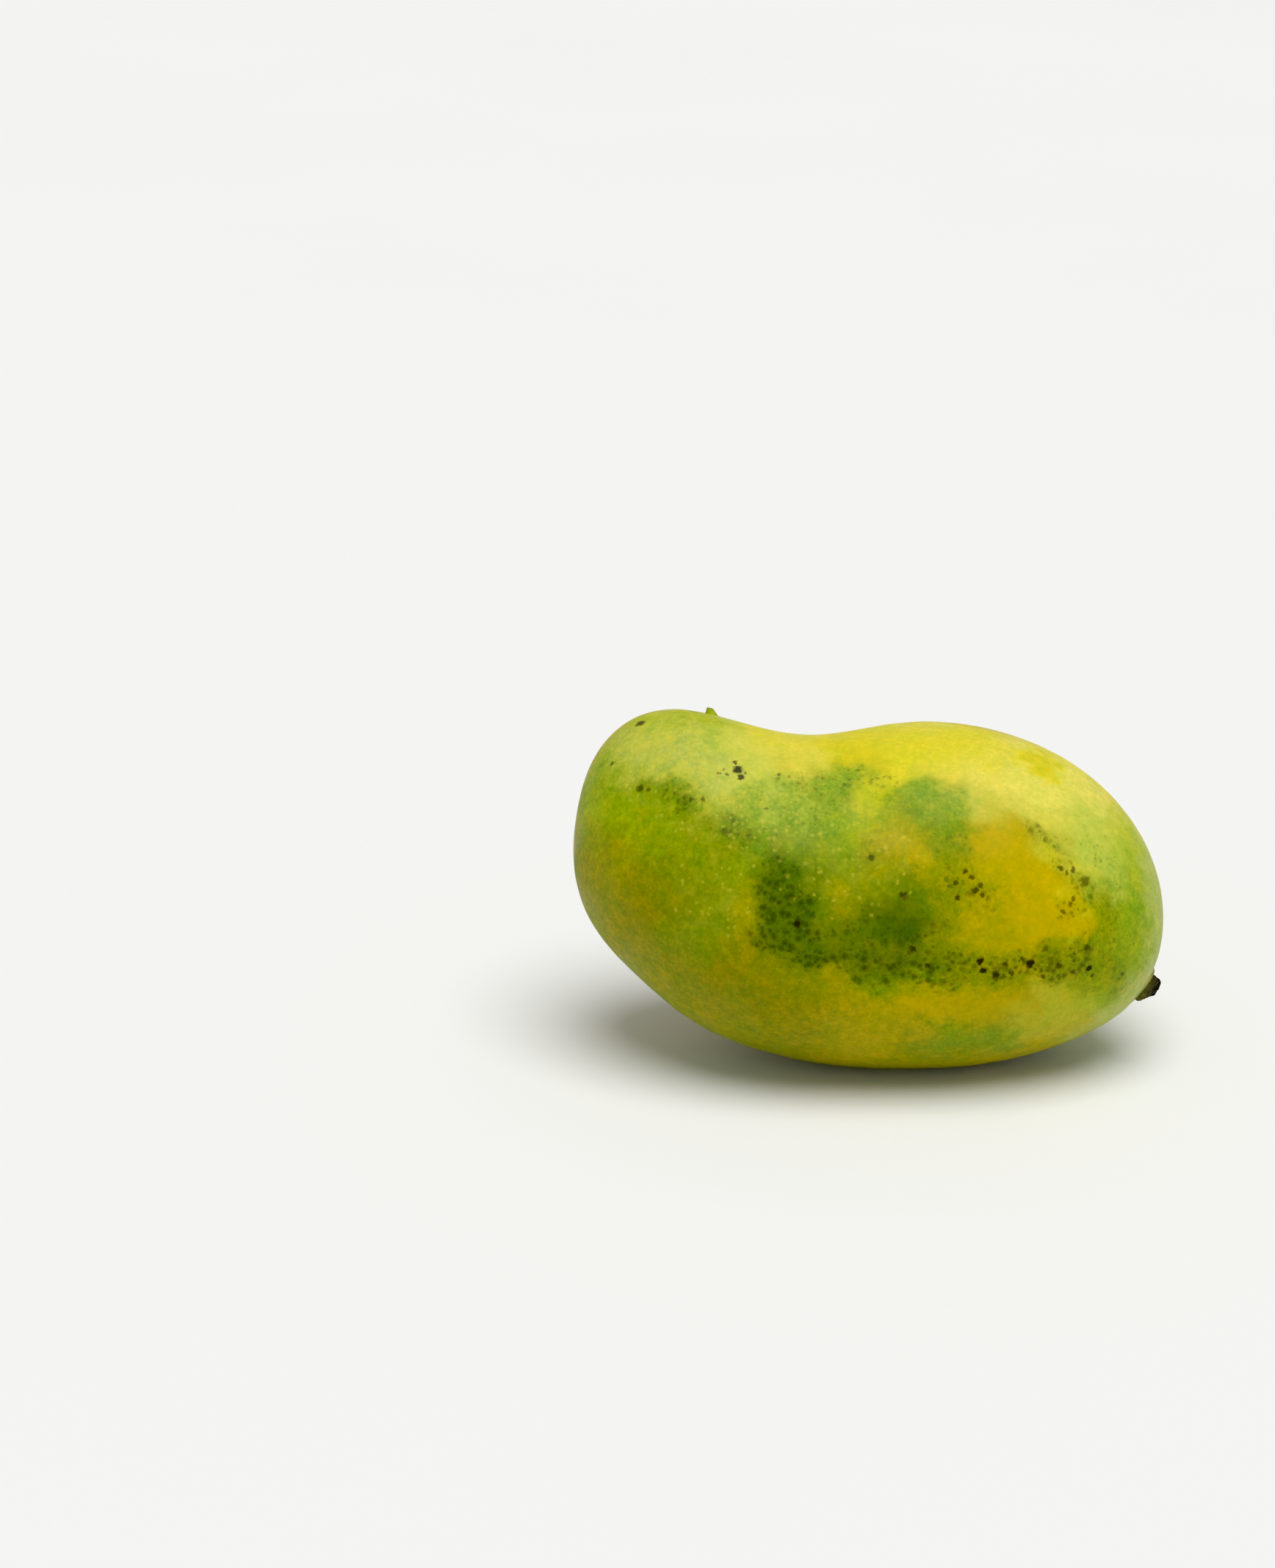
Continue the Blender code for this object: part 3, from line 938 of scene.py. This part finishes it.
    def marked(self, wiring: Wiring, point: Socket, marks: Sequence[tuple[Vector, Mark]]) -> Any:
        """Draws the single marks, with uneven rims.

        Args:
            wiring: the material's wiring.
            point: the Object coordinates.
            marks: each mark with its place in the frame.

        Returns:
            How far each point of the skin is covered by a mark.
        """
        shaken = wiring.shaken(point, 1 / self.mark_rag_size, self.mark_rag, self.grain_detail)
        covered: Any = 0.0
        for centre, mark in marks:
            distance = wiring.vector("DISTANCE", shaken, tuple(centre), out="Value")
            inner, outer = (share * mark.reach * MM for share in self.mark_rim)
            covered = wiring.math("MAXIMUM", covered, wiring.ramp(distance, inner, outer, mark.depth, 0.0))
        return covered


@dataclass(frozen=True)
class StalkFinish:
    """Dry stalk wood: dark brown, olive at the skin and black at the broken end.

    Attributes:
        fresh: the colour next to the skin.
        dry: the colour of the stub's side.
        burnt: the colour of its broken end.
        drying: by its rise, how the first colour gives way to the second.
        burning: by its rise, how the second gives way to the third.
        fibre: the dark fibres.
        scab: the paler scabs.
        roughness: of the wood.
        specular: how strongly it mirrors.
        relief: the height of the fibres.
    """

    fresh: Colour = linear(126, 124, 50)
    dry: Colour = linear(74, 70, 26)
    burnt: Colour = linear(18, 15, 9)
    drying: Ramp = Ramp(0.05, 0.45)
    burning: Ramp = Ramp(0.45, 0.95)
    fibre: Clouds = Clouds(0.5 * MM, 0.5, 0.6)
    scab: Dots = Dots(0.9 * MM, 0.25 * MM, 0.6, 0.35)
    scab_share: float = 0.4
    roughness: float = 0.8
    specular: float = 0.3
    relief: float = 0.12 * MM

    def material(self, effects: Effects) -> bpy.types.Material:
        """Wires the stalk's material.

        Args:
            effects: the shared node groups.

        Returns:
            The material.
        """
        constants = {"Roughness": self.roughness, "Specular IOR Level": self.specular}
        material, wiring, shader = new_material("dry_stalk", constants)
        point, rise = wiring.coordinates(), wiring.attribute("rise")
        fibre = self.fibre.draw(wiring, effects, point)
        wood = wiring.mix(wiring.along(rise, self.drying), self.fresh, self.dry)
        wood = wiring.mix(wiring.along(rise, self.burning), wood, self.burnt)
        wood = wiring.mix(wiring.math("MULTIPLY", fibre, self.fibre.strength), wood, self.burnt)
        scab = self.scab.draw(wiring, effects, point, self.scab_share)
        wood = wiring.mix(wiring.math("MULTIPLY", scab, self.scab.strength), wood, self.fresh)
        bump = wiring.add("ShaderNodeBump", {"Distance": self.relief, "Height": fibre})
        wiring.feed(shader, {"Base Color": wood, "Normal": bump.outputs["Normal"]})
        return material


@dataclass(frozen=True)
class FloorFinish:
    """A pale matt table top.

    Attributes:
        colour: of the top.
        roughness: from its smoothest to its dullest place.
        gloss: the clouds between the two.
        specular: how strongly it mirrors.
    """

    colour: Colour = linear(243, 243, 241)
    roughness: Ramp = Ramp(0.0, 1.0, 0.7, 0.8)
    gloss: Clouds = Clouds(0.25, 0.0)
    specular: float = 0.1

    def material(self, effects: Effects) -> bpy.types.Material:
        """Wires the floor's material.

        Args:
            effects: the shared node groups.

        Returns:
            The material.
        """
        constants = {"Base Color": self.colour, "Specular IOR Level": self.specular}
        material, wiring, shader = new_material("pale_floor", constants)
        cloud = self.gloss.draw(wiring, effects, wiring.coordinates())
        wiring.feed(shader, {"Roughness": wiring.along(cloud, self.roughness)})
        return material


@dataclass(frozen=True)
class Ripple:
    """One smooth noise over the skin.

    Attributes:
        size: of its waves, in millimetres.
        shift: which stretch of the noise it takes.
    """

    size: float
    shift: tuple[float, float, float] = (0.0, 0.0, 0.0)

    def heights(self, points: np.ndarray) -> np.ndarray:
        """The noise's height at each point, about -1 to 1."""
        return np.array([noise.noise(Vector(p) / self.size + Vector(self.shift)) for p in points])

    def vectors(self, points: np.ndarray) -> np.ndarray:
        """A noise vector for each point. What they are hangs on the seed."""
        return np.array([noise.noise_vector(Vector(p) / self.size + Vector(self.shift)) for p in points])


@dataclass
class Painter:
    """Paints the skin's ground colours and grey layers onto its points.

    Attributes:
        points: the skin's points in the fruit's own axes, in millimetres.
        seed: which wanderings the sweeps take. Without it, each run would draw others.
        wander: how far the sweeps wander, in millimetres.
        wandering: the noise of that.
        fray: how far their edges fray, in millimetres.
        fraying: the noise of that.
        patches: the noise that pulls the edges in and out.
        crumbs: the finer one that does so.
        drift: the broad one between greener and riper ground.
        patches_pull: how far the patches pull an edge, as a share of the reach.
        crumbs_pull: how far the crumbs do.
        crumbs_bare: how much of the coat the crumbs leave out.
        wrap: from where to where across the top edge a sweep of one cheek fades out, in millimetres.
        ripeness: the ground's ripeness at the long axis, what it gains with each millimetre up, and what the
            drift and the patches add to it.
        ripening: the ground's tones from the greenest to the ripest.
        rim: how far a stain's edge fades to each side, as a share of its reach.
    """

    points: np.ndarray
    seed: int = 1
    wander: float = 2.4
    wandering: Ripple = Ripple(9.0)
    fray: float = 1.8
    fraying: Ripple = Ripple(2.8, (9, 2, 5))
    patches: Ripple = Ripple(5.0, (1, 8, 3))
    crumbs: Ripple = Ripple(1.8, (6, 3, 7))
    drift: Ripple = Ripple(26.0, (4, 4, 4))
    patches_pull: float = 0.3
    crumbs_pull: float = 0.25
    crumbs_bare: float = 0.4
    wrap: tuple[float, float] = (3.0, -9.0)
    ripeness: tuple[float, float, float, float] = (0.5, 0.012, 0.55, 0.25)
    ripening: tuple[Tone, ...] = (Tone.LEAF, Tone.OLIVE, Tone.OLD_GOLD, Tone.GOLD, Tone.LEMON)
    rim: float = 0.3

    def __post_init__(self) -> None:
        """Reads the noise that bends the sweeps once for all of them."""
        noise.seed_set(self.seed)
        coarse, fine = self.wandering.vectors(self.points), self.fraying.vectors(self.points)
        self.bent = self.points + coarse * self.wander + fine * self.fray
        self.patchy = self.patches.heights(self.points)
        self.crumbly = self.crumbs.heights(self.points)
        self.tone = self.ground()
        self.masks = {mask: np.zeros(len(self.points)) for mask in Mask}

    def ground(self) -> np.ndarray:
        """The colour that shows where no sweep covers the skin: green below, yellow above, mottled between.

        Returns:
            A colour for each point.
        """
        middle, rise, drifting, patching = self.ripeness
        drift = self.drift.heights(self.points)
        ripe = middle + rise * self.points[:, 2] + drifting * drift + patching * self.patchy
        scale = np.array([linear(*tone.value) for tone in self.ripening])
        stops = np.linspace(0, 1, len(scale))
        channels = [np.interp(np.clip(ripe, 0, 1), stops, channel) for channel in scale.T]
        return np.column_stack(channels)

    def cover(self, sweep: Sweep) -> np.ndarray:
        """How far a sweep covers each point.

        Args:
            sweep: the sweep.

        Returns:
            A share for each point.
        """
        at = self.bent[:, (0, 2)]
        path = np.array(sweep.path, float)
        nearest = np.full(len(at), np.inf)
        for start, end in zip(path, path[1:]):
            way = end - start
            share = np.clip((at - start) @ way / (way @ way), 0, 1)
            nearest = np.minimum(nearest, np.linalg.norm(at - start - share[:, None] * way, axis=1))
        pull = self.patches_pull * self.patchy + self.crumbs_pull * self.crumbly
        edge = smooth_step(nearest / sweep.reach + pull, 1 + sweep.fade, 1 - sweep.fade)
        side = smooth_step(-self.points[:, 1] * sweep.cheek.value, *self.wrap)
        return sweep.strength * edge * side * np.clip(1 + self.crumbs_bare * self.crumbly, 0, 1)

    def lay(self, tone: Tone, cover: np.ndarray) -> None:
        """Covers a share of each point's colour with a tone."""
        self.tone += (np.array(linear(*tone.value)) - self.tone) * cover[:, None]

    def sweep_over(self, sweeps: Sequence[Sweep]) -> None:
        """Lays sweeps down one after another.

        Args:
            sweeps: the sweeps, the lowest first.
        """
        for sweep in sweeps:
            cover = self.cover(sweep)
            if isinstance(sweep.coat, Tone):
                self.lay(sweep.coat, cover)
            else:
                self.masks[sweep.coat] = np.maximum(self.masks[sweep.coat], cover)

    def ring(self, distance: np.ndarray, tone: Tone, reach: float, strength: float) -> None:
        """Stains the skin round a foot.

        Args:
            distance: how far each point is from the foot, in millimetres.
            tone: the stain's colour.
            reach: how far it goes, in millimetres.
            strength: how much it covers.
        """
        outer, inner = reach * (1 + self.rim), reach * (1 - self.rim)
        self.lay(tone, strength * smooth_step(distance + self.patchy, outer, inner))

    def store(self, mesh: bpy.types.Mesh) -> None:
        """Writes the colours and grey layers onto the mesh.

        Args:
            mesh: the skin's mesh, with its points in the painter's order.
        """
        colours = mesh.attributes.new("tone", "FLOAT_COLOR", "POINT")
        colours.data.foreach_set("color", self.tone.astype(np.float32).ravel())
        for mask, values in self.masks.items():
            layer = mesh.attributes.new(mask.value, "FLOAT", "POINT")
            layer.data.foreach_set("value", values.astype(np.float32))


@dataclass
class Fruit:
    """The fruit's skin, with the beak, the lip and pit round the stalk, and the soft flat spot.

    Attributes:
        form: the smooth body.
        pose: how it lies.
        squares: along each edge of the cube that is blown up into it.
        beak_zone: how far round the beak the mesh is finer.
        beak_cuts: the extra cuts there.
        beak_depth: how deep under its foot the skin still belongs to the beak.
        beak_height: of the beak above the skin.
        beak_top: its radius at its blunt end.
        beak_base: its radius at its foot.
        beak_stains: the tones on it, each with its reach in millimetres and its strength.
        stalk_zone: how far round the stalk the mesh is finer.
        stalk_cuts: the extra cuts there.
        stalk_depth: how deep under its foot the skin still belongs to the stalk end.
        stalk_stains: the tones round it, like the beak's.
        lip_radius: of the raised lip round the stalk.
        lip_width: of its swelling.
        lip_height: of it.
        lip_swell: how much higher it is on its upper side.
        pit_radius: of the pit inside the lip.
        pit_wall: from where to where its wall falls, past that radius.
        pit_depth: of the pit.
        grain_height: of the skin's low grain.
        grain_size: of that.
        flat_softness: how softly the flat spot's rim turns up.
    """

    form: Form
    pose: Pose
    squares: int = 115
    beak_zone: float = 3.2 * MM
    beak_cuts: int = 5
    beak_depth: float = 3.0 * MM
    beak_height: float = 1.5 * MM
    beak_top: float = 0.45 * MM
    beak_base: float = 1.45 * MM
    beak_stains: tuple[tuple[Tone, float, float], ...] = ((Tone.LEAF, 1.4, 0.8),)
    stalk_zone: float = 8.0 * MM
    stalk_cuts: int = 3
    stalk_depth: float = 5.0 * MM
    stalk_stains: tuple[tuple[Tone, float, float], ...] = (
        (Tone.HAZE_AND_SHEEN, 11.0, 0.55),
        (Tone.OLD_GOLD, 6.6, 0.25),
        (Tone.BARK, 5.2, 0.8),
    )
    lip_radius: float = 4.1 * MM
    lip_width: float = 0.75 * MM
    lip_height: float = 0.4 * MM
    lip_swell: float = 0.3 * MM
    pit_radius: float = 3.35 * MM
    pit_wall: tuple[float, float] = (0.15 * MM, -0.35 * MM)
    pit_depth: float = 1.9 * MM
    grain_height: float = 0.06 * MM
    grain_size: float = 4.0 * MM
    flat_softness: float = 0.5 * MM

    def directions(self, bm: bmesh.types.BMesh) -> np.ndarray:
        """Blows the cube's points up onto the unit sphere so that its squares stay nearly equal."""
        spread = np.tan(np.array([v.co for v in bm.verts]) * math.pi / 4)
        return spread / np.linalg.norm(spread, axis=1)[:, None]

    def refine(self, bm: bmesh.types.BMesh, foot: Vector, reach: float, cuts: int) -> None:
        """Cuts the mesh finer round a foot.

        Args:
            bm: the cube.
            foot: the middle of the finer zone, on the body.
            reach: its radius.
            cuts: the cuts across each edge in it.
        """
        places = self.form.body(self.directions(bm))
        bm.verts.index_update()
        close = np.linalg.norm(places - np.array(foot), axis=1) < reach
        edges = [e for e in bm.edges if all(close[v.index] for v in e.verts)]
        bmesh.ops.subdivide_edges(bm, edges=edges, cuts=cuts, use_grid_fill=True)

    def relief(self, skin: np.ndarray, directions: np.ndarray) -> np.ndarray:
        """Raises the beak and the lip, sinks the pit and adds the skin's low grain.

        Args:
            skin: the skin's points in the fruit's own axes.
            directions: the unit sphere's point for each of them.

        Returns:
            The dressed points.
        """
        foot, axis = self.form.beak
        away, along = polar(skin, foot, axis)
        beak = self.beak_height * smooth_step(away, self.beak_base, self.beak_top)
        dressed = skin + np.outer(beak * (along > -self.beak_depth), np.array(axis))
        foot, axis = self.form.stalk
        away, along = polar(skin, foot, axis)
        here = along > -self.stalk_depth
        upward = np.clip((skin[:, 2] - foot.z) / self.lip_radius, -1, 1)
        height = self.lip_height + self.lip_swell * upward
        lip = height * np.exp(-(((away - self.lip_radius) / self.lip_width) ** 2))
        pit = self.pit_depth * smooth_step(away - self.pit_radius, *self.pit_wall)
        dressed += np.outer((lip - pit) * here, np.array(axis))
        grain = np.array([noise.noise(Vector(p) / self.grain_size) for p in skin])
        return dressed + directions * (grain * self.grain_height)[:, None]

    def settle(self, points: np.ndarray) -> np.ndarray:
        """Presses the underside level with the table, with a soft rim round the flat spot.

        Args:
            points: the dressed skin in the frame, which is changed.

        Returns:
            The same points.
        """
        height, soft = points[:, 2], self.flat_softness
        bulge = np.sqrt(height**2 + soft**2) - soft * np.exp(-np.abs(height) / soft)
        points[:, 2] = (height + bulge) / 2
        return points

    def build(self, effects: Effects) -> tuple[bpy.types.Object, Matrix]:
        """Builds and dresses the fruit.

        Args:
            effects: the shared node groups.

        Returns:
            The fruit, and the matrix from its own axes to the frame.
        """
        bm = bmesh.new()
        bmesh.ops.create_cube(bm, size=2.0)
        bmesh.ops.subdivide_edges(bm, edges=bm.edges[:], cuts=self.squares - 1, use_grid_fill=True)
        self.refine(bm, self.form.beak[0], self.beak_zone, self.beak_cuts)
        self.refine(bm, self.form.stalk[0], self.stalk_zone, self.stalk_cuts)
        directions = self.directions(bm)
        skin = self.form.skin(directions)
        place = self.pose.matrix(skin)
        dressed = self.relief(skin, directions)
        turned = dressed @ np.array(place.to_3x3()).T + np.array(place.translation)
        painter = Painter(skin / MM)
        painter.sweep_over(FAR_SWEEPS)
        painter.sweep_over(NEAR_SWEEPS)
        self.stain(painter, skin)

        marks = [(Vector(turned[self.nearest(skin, mark)]), mark) for mark in MARKS]
        fruit = make_piece("fruit_skin", bm, SkinFinish().material(effects, marks))
        fruit.data.vertices.foreach_set("co", self.settle(turned).astype(np.float32).ravel())
        painter.store(fruit.data)
        fruit.data.update()
        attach(fruit, BODY)
        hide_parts("mango_fruit")
        return fruit, place

    def stain(self, painter: Painter, skin: np.ndarray) -> None:
        """Tints the skin round the stalk and on the beak.

        Args:
            painter: the painter, whose points are the skin's.
            skin: the skin's points in the fruit's own axes.
        """
        ends = (
            (self.form.stalk, self.stalk_depth, self.stalk_stains),
            (self.form.beak, self.beak_depth, self.beak_stains),
        )
        for (foot, axis), depth, stains in ends:
            away, along = polar(skin, foot, axis)
            distance = np.where(along > -depth, away / MM, FAR_AWAY)
            for tone, reach, strength in stains:
                painter.ring(distance, tone, reach, strength)

    @staticmethod
    def nearest(skin: np.ndarray, mark: Mark) -> int:
        """Finds the skin's point that lies nearest to a mark's place on its cheek.

        Args:
            skin: the skin's points in the fruit's own axes.
            mark: the mark.

        Returns:
            The point's index.
        """
        offset = skin[:, (0, 2)] / MM - np.array(mark.at)
        wrong_cheek = np.where(skin[:, 1] * mark.cheek.value > 0, 0, FAR_AWAY)
        return int(np.argmin(np.linalg.norm(offset, axis=1) + wrong_cheek))


@dataclass
class Stub:
    """The dry stub of the stalk, ridged along its fibres and broken off unevenly.

    Attributes:
        form: the body that it stands on.
        outline: height above the skin and radius, in millimetres, from its seat to the hollow broken end.
        collar: which of those rows the darkening of the wood is measured to.
        hollow: how much deeper the middle of the broken end lies than its last row.
        steps: round it.
        rings: along it.
        lean: how far it leans towards the top edge for each unit that it rises.
        seed: which rough bark it takes. Without it, each run would draw another.
        ridges: round it.
        ridge_height: of each.
        ridge_drift: how far the ridges wander to the side.
        ridge_waves: of that wandering for each metre.
        roughness: how far the bark moves the surface.
        grain: the bark's waves for each metre.
        fine_grain: how many times finer its second layer is.
        fine_share: the strength of that layer.
    """

    form: Form
    outline: tuple[Place, ...] = (
        (-2.0, 2.5),
        (-0.7, 3.0),
        (0.8, 3.15),
        (1.5, 2.65),
        (2.25, 2.1),
        (2.85, 1.75),
        (3.1, 1.3),
        (2.75, 0.85),
        (2.6, 0.4),
    )
    collar: int = 5
    hollow: float = 0.05
    steps: int = 96
    rings: int = 44
    lean: float = 0.35
    seed: int = 4
    ridges: int = 11
    ridge_height: float = 0.11 * MM
    ridge_drift: float = 2.5
    ridge_waves: float = 300.0
    roughness: float = 0.28 * MM
    grain: float = 620.0
    fine_grain: float = 2.7
    fine_share: float = 0.5

    def profile(self) -> list[Vector]:
        """The finer outline, read from a smooth curve through the outline's points."""
        foot, end = (self.outline[0][0], 0.0), (self.outline[-1][0] - self.hollow, 0.0)
        outline = np.array([foot, *self.outline, end])
        run = np.r_[0, np.cumsum(np.linalg.norm(np.diff(outline, axis=0), axis=1))]
        at = np.linspace(0, run[-1], self.rings)
        height = Spline(run, outline[:, 0])(at)
        radius = np.maximum(Spline(run, outline[:, 1])(at), 0)
        radius[0] = radius[-1] = 0
        return [Vector((r, 0, h)) * MM for h, r in zip(height, radius)]

    def roughened(self, co: Vector) -> Vector:
        """Moves a point of the turned stub by its ridges, its rough bark and its lean.

        Args:
            co: the point about the stub's own axis.

        Returns:
            The moved point.
        """
        rise = max(0.0, co.z)
        held = min(1.0, rise / MM)
        turn = math.atan2(co.y, co.x)
        outward = Vector((co.x, co.y, 0))
        drift = self.ridge_drift * noise.noise(co * self.ridge_waves)
        ridge = math.sin(self.ridges * turn + drift) * self.ridge_height * min(1.0, outward.length / MM)
        fine = noise.noise_vector(co * self.grain * self.fine_grain) * self.fine_share
        rough = (noise.noise_vector(co * self.grain) + fine) * self.roughness * held
        return co + outward.normalized() * ridge + rough + Vector((0, self.lean * rise, 0))

    def build(self, effects: Effects, place: Matrix) -> bpy.types.Object:
        """Builds and dresses the stub.

        Args:
            effects: the shared node groups.
            place: the matrix from the fruit's own axes to the frame.

        Returns:
            The stub.
        """
        noise.seed_set(self.seed)
        foot, axis = self.form.stalk
        across = Vector((0, 1, 0)).cross(axis).normalized()
        up = -across if across.z < 0 else across
        stand = Matrix.Translation(foot) @ Matrix((up.cross(axis), up, axis)).transposed().to_4x4()
        bm = bmesh.new()
        verts = [bm.verts.new(co) for co in self.profile()]
        edges = [bm.edges.new(pair) for pair in zip(verts, verts[1:])]
        turn = {"axis": (0, 0, 1), "cent": (0, 0, 0), "angle": 2 * math.pi}
        bmesh.ops.spin(bm, geom=verts + edges, steps=self.steps, use_merge=True, **turn)
        bmesh.ops.remove_doubles(bm, verts=bm.verts, dist=MERGE_DISTANCE)
        bmesh.ops.recalc_face_normals(bm, faces=bm.faces)
        rises = [v.co.z / MM / self.outline[self.collar][0] for v in bm.verts]
        for vertex in bm.verts:
            vertex.co = place @ stand @ self.roughened(vertex.co)
        stub = make_piece("stalk_stub", bm, StalkFinish().material(effects))
        layer = stub.data.attributes.new("rise", "FLOAT", "POINT")
        layer.data.foreach_set("value", rises)
        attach(stub, BODY)
        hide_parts("stem_stub")
        return stub


@dataclass
class Studio:
    """A pale floor, a large soft light above and in front, a pale room and the camera.

    Attributes:
        elevation: how far above the horizon the camera looks from.
        lens: in millimetres.
        distance: from the camera to the fruit's middle, along its view.
        aside: how far the camera is shifted along X from the fruit's middle. This and the next one are worked
            out from the pixel at which the same fit as the body's holds that middle.
        above: how far it is shifted upwards in its own view.
        sensor: the film's width in millimetres.
        clip_start: the nearest that the camera sees.
        floor_radius: of the round floor.
        floor_sides: of its edge.
        floor_gap: how far it lies below the fruit's flat spot.
        key_elevation: how high the soft light stands.
        key_turn: how far it stands to the right of the camera.
        key_softness: how wide it is.
        key_strength: of it.
        glow: the room's light by height, from the horizon up.
        black: the level that is taken for black.
    """

    elevation: float = math.radians(20)
    lens: float = 85.0
    distance: float = 800 * MM
    aside: float = -49.43 * MM
    above: float = 22.33 * MM
    sensor: float = 36.0
    clip_start: float = 10 * MM
    floor_radius: float = 9.0
    floor_sides: int = 96
    floor_gap: float = 0.1 * MM
    key_elevation: float = math.radians(74)
    key_turn: float = math.radians(24)
    key_softness: float = math.radians(45)
    key_strength: float = 2.26
    glow: Ramp = Ramp(0.02, 0.25, 0.9, 0.32)
    black: float = 0.012

    def add(self, name: str, data: bpy.types.ID) -> bpy.types.Object:
        """Adds an object to the scene.

        Args:
            name: the object's name.
            data: what it holds.

        Returns:
            The object.
        """
        obj = bpy.data.objects.new(name, data)
        bpy.context.scene.collection.objects.link(obj)
        return obj

    def floor(self, effects: Effects) -> None:
        """Lays the floor just below the fruit's flat spot.

        Args:
            effects: the shared node groups.
        """
        bm = bmesh.new()
        bmesh.ops.create_circle(bm, cap_ends=True, segments=self.floor_sides, radius=self.floor_radius)
        bmesh.ops.translate(bm, verts=bm.verts, vec=(0, 0, -self.floor_gap))
        make_piece("floor", bm, FloorFinish().material(effects))

    def camera(self, middle: Vector) -> None:
        """Stands the camera where the photographer stood.

        Args:
            middle: the fruit's middle in the frame.
        """
        camera = self.add("camera", bpy.data.cameras.new("camera"))
        camera.data.lens = self.lens
        camera.data.sensor_width = self.sensor
        camera.data.clip_start = self.clip_start
        sine, cosine = math.sin(self.elevation), math.cos(self.elevation)
        upward, forward = Vector((0, sine, cosine)), Vector((0, cosine, -sine))
        camera.location = middle + Vector((self.aside, 0, 0)) + upward * self.above - forward * self.distance
        camera.rotation_euler = (math.pi / 2 - self.elevation, 0, 0)
        bpy.context.scene.camera = camera

    def lights(self, middle: Vector) -> None:
        """Hangs the soft box and lights the room.

        Args:
            middle: the fruit's middle in the frame.
        """
        key = self.add("soft_light", bpy.data.lights.new("soft_light", "SUN"))
        key.data.angle = self.key_softness
        key.data.energy = self.key_strength
        level, high = math.cos(self.key_elevation), math.sin(self.key_elevation)
        way = Vector((math.sin(self.key_turn) * level, -math.cos(self.key_turn) * level, high))
        key.location = middle + way
        key.rotation_euler = way.to_track_quat("Z", "Y").to_euler()

        world = bpy.data.worlds.new("room")
        bpy.context.scene.world = world
        world.use_nodes = True
        wiring = Wiring(world.node_tree)
        ray = wiring.add("ShaderNodeTexCoord").outputs["Generated"]
        height = wiring.add("ShaderNodeSeparateXYZ", {0: ray}).outputs["Z"]
        background = world.node_tree.nodes["Background"]
        background.inputs["Color"].default_value = (1.0, 1.0, 1.0, 1.0)
        wiring.feed(background, {"Strength": wiring.along(height, self.glow)})

    def build(self, effects: Effects, middle: Vector) -> None:
        """Builds the studio.

        Args:
            effects: the shared node groups.
            middle: the fruit's middle in the frame.
        """
        self.floor(effects)
        self.camera(middle)
        self.lights(middle)
        look = bpy.context.scene.view_settings
        look.view_transform = "Standard"
        look.use_curve_mapping = True
        look.curve_mapping.black_level = (self.black,) * 3


def main() -> None:
    """Builds the pieces in order and reports each one."""
    logging.basicConfig(level=logging.INFO, format="%(message)s")
    effects = Effects(flecks_group(), cloud_group())
    form = Form()
    fruit, place = Fruit(form, Pose()).build(effects)
    stub = Stub(form).build(effects, place)
    Studio().build(effects, place.translation)
    for piece in (fruit, stub):
        log.info("%s: %d points, %d faces", piece.name, len(piece.data.vertices), len(piece.data.polygons))
    log.info("the fruit's middle is at %s mm", [round(c / MM, 3) for c in place.translation])


if __name__ == "__main__":
    main()
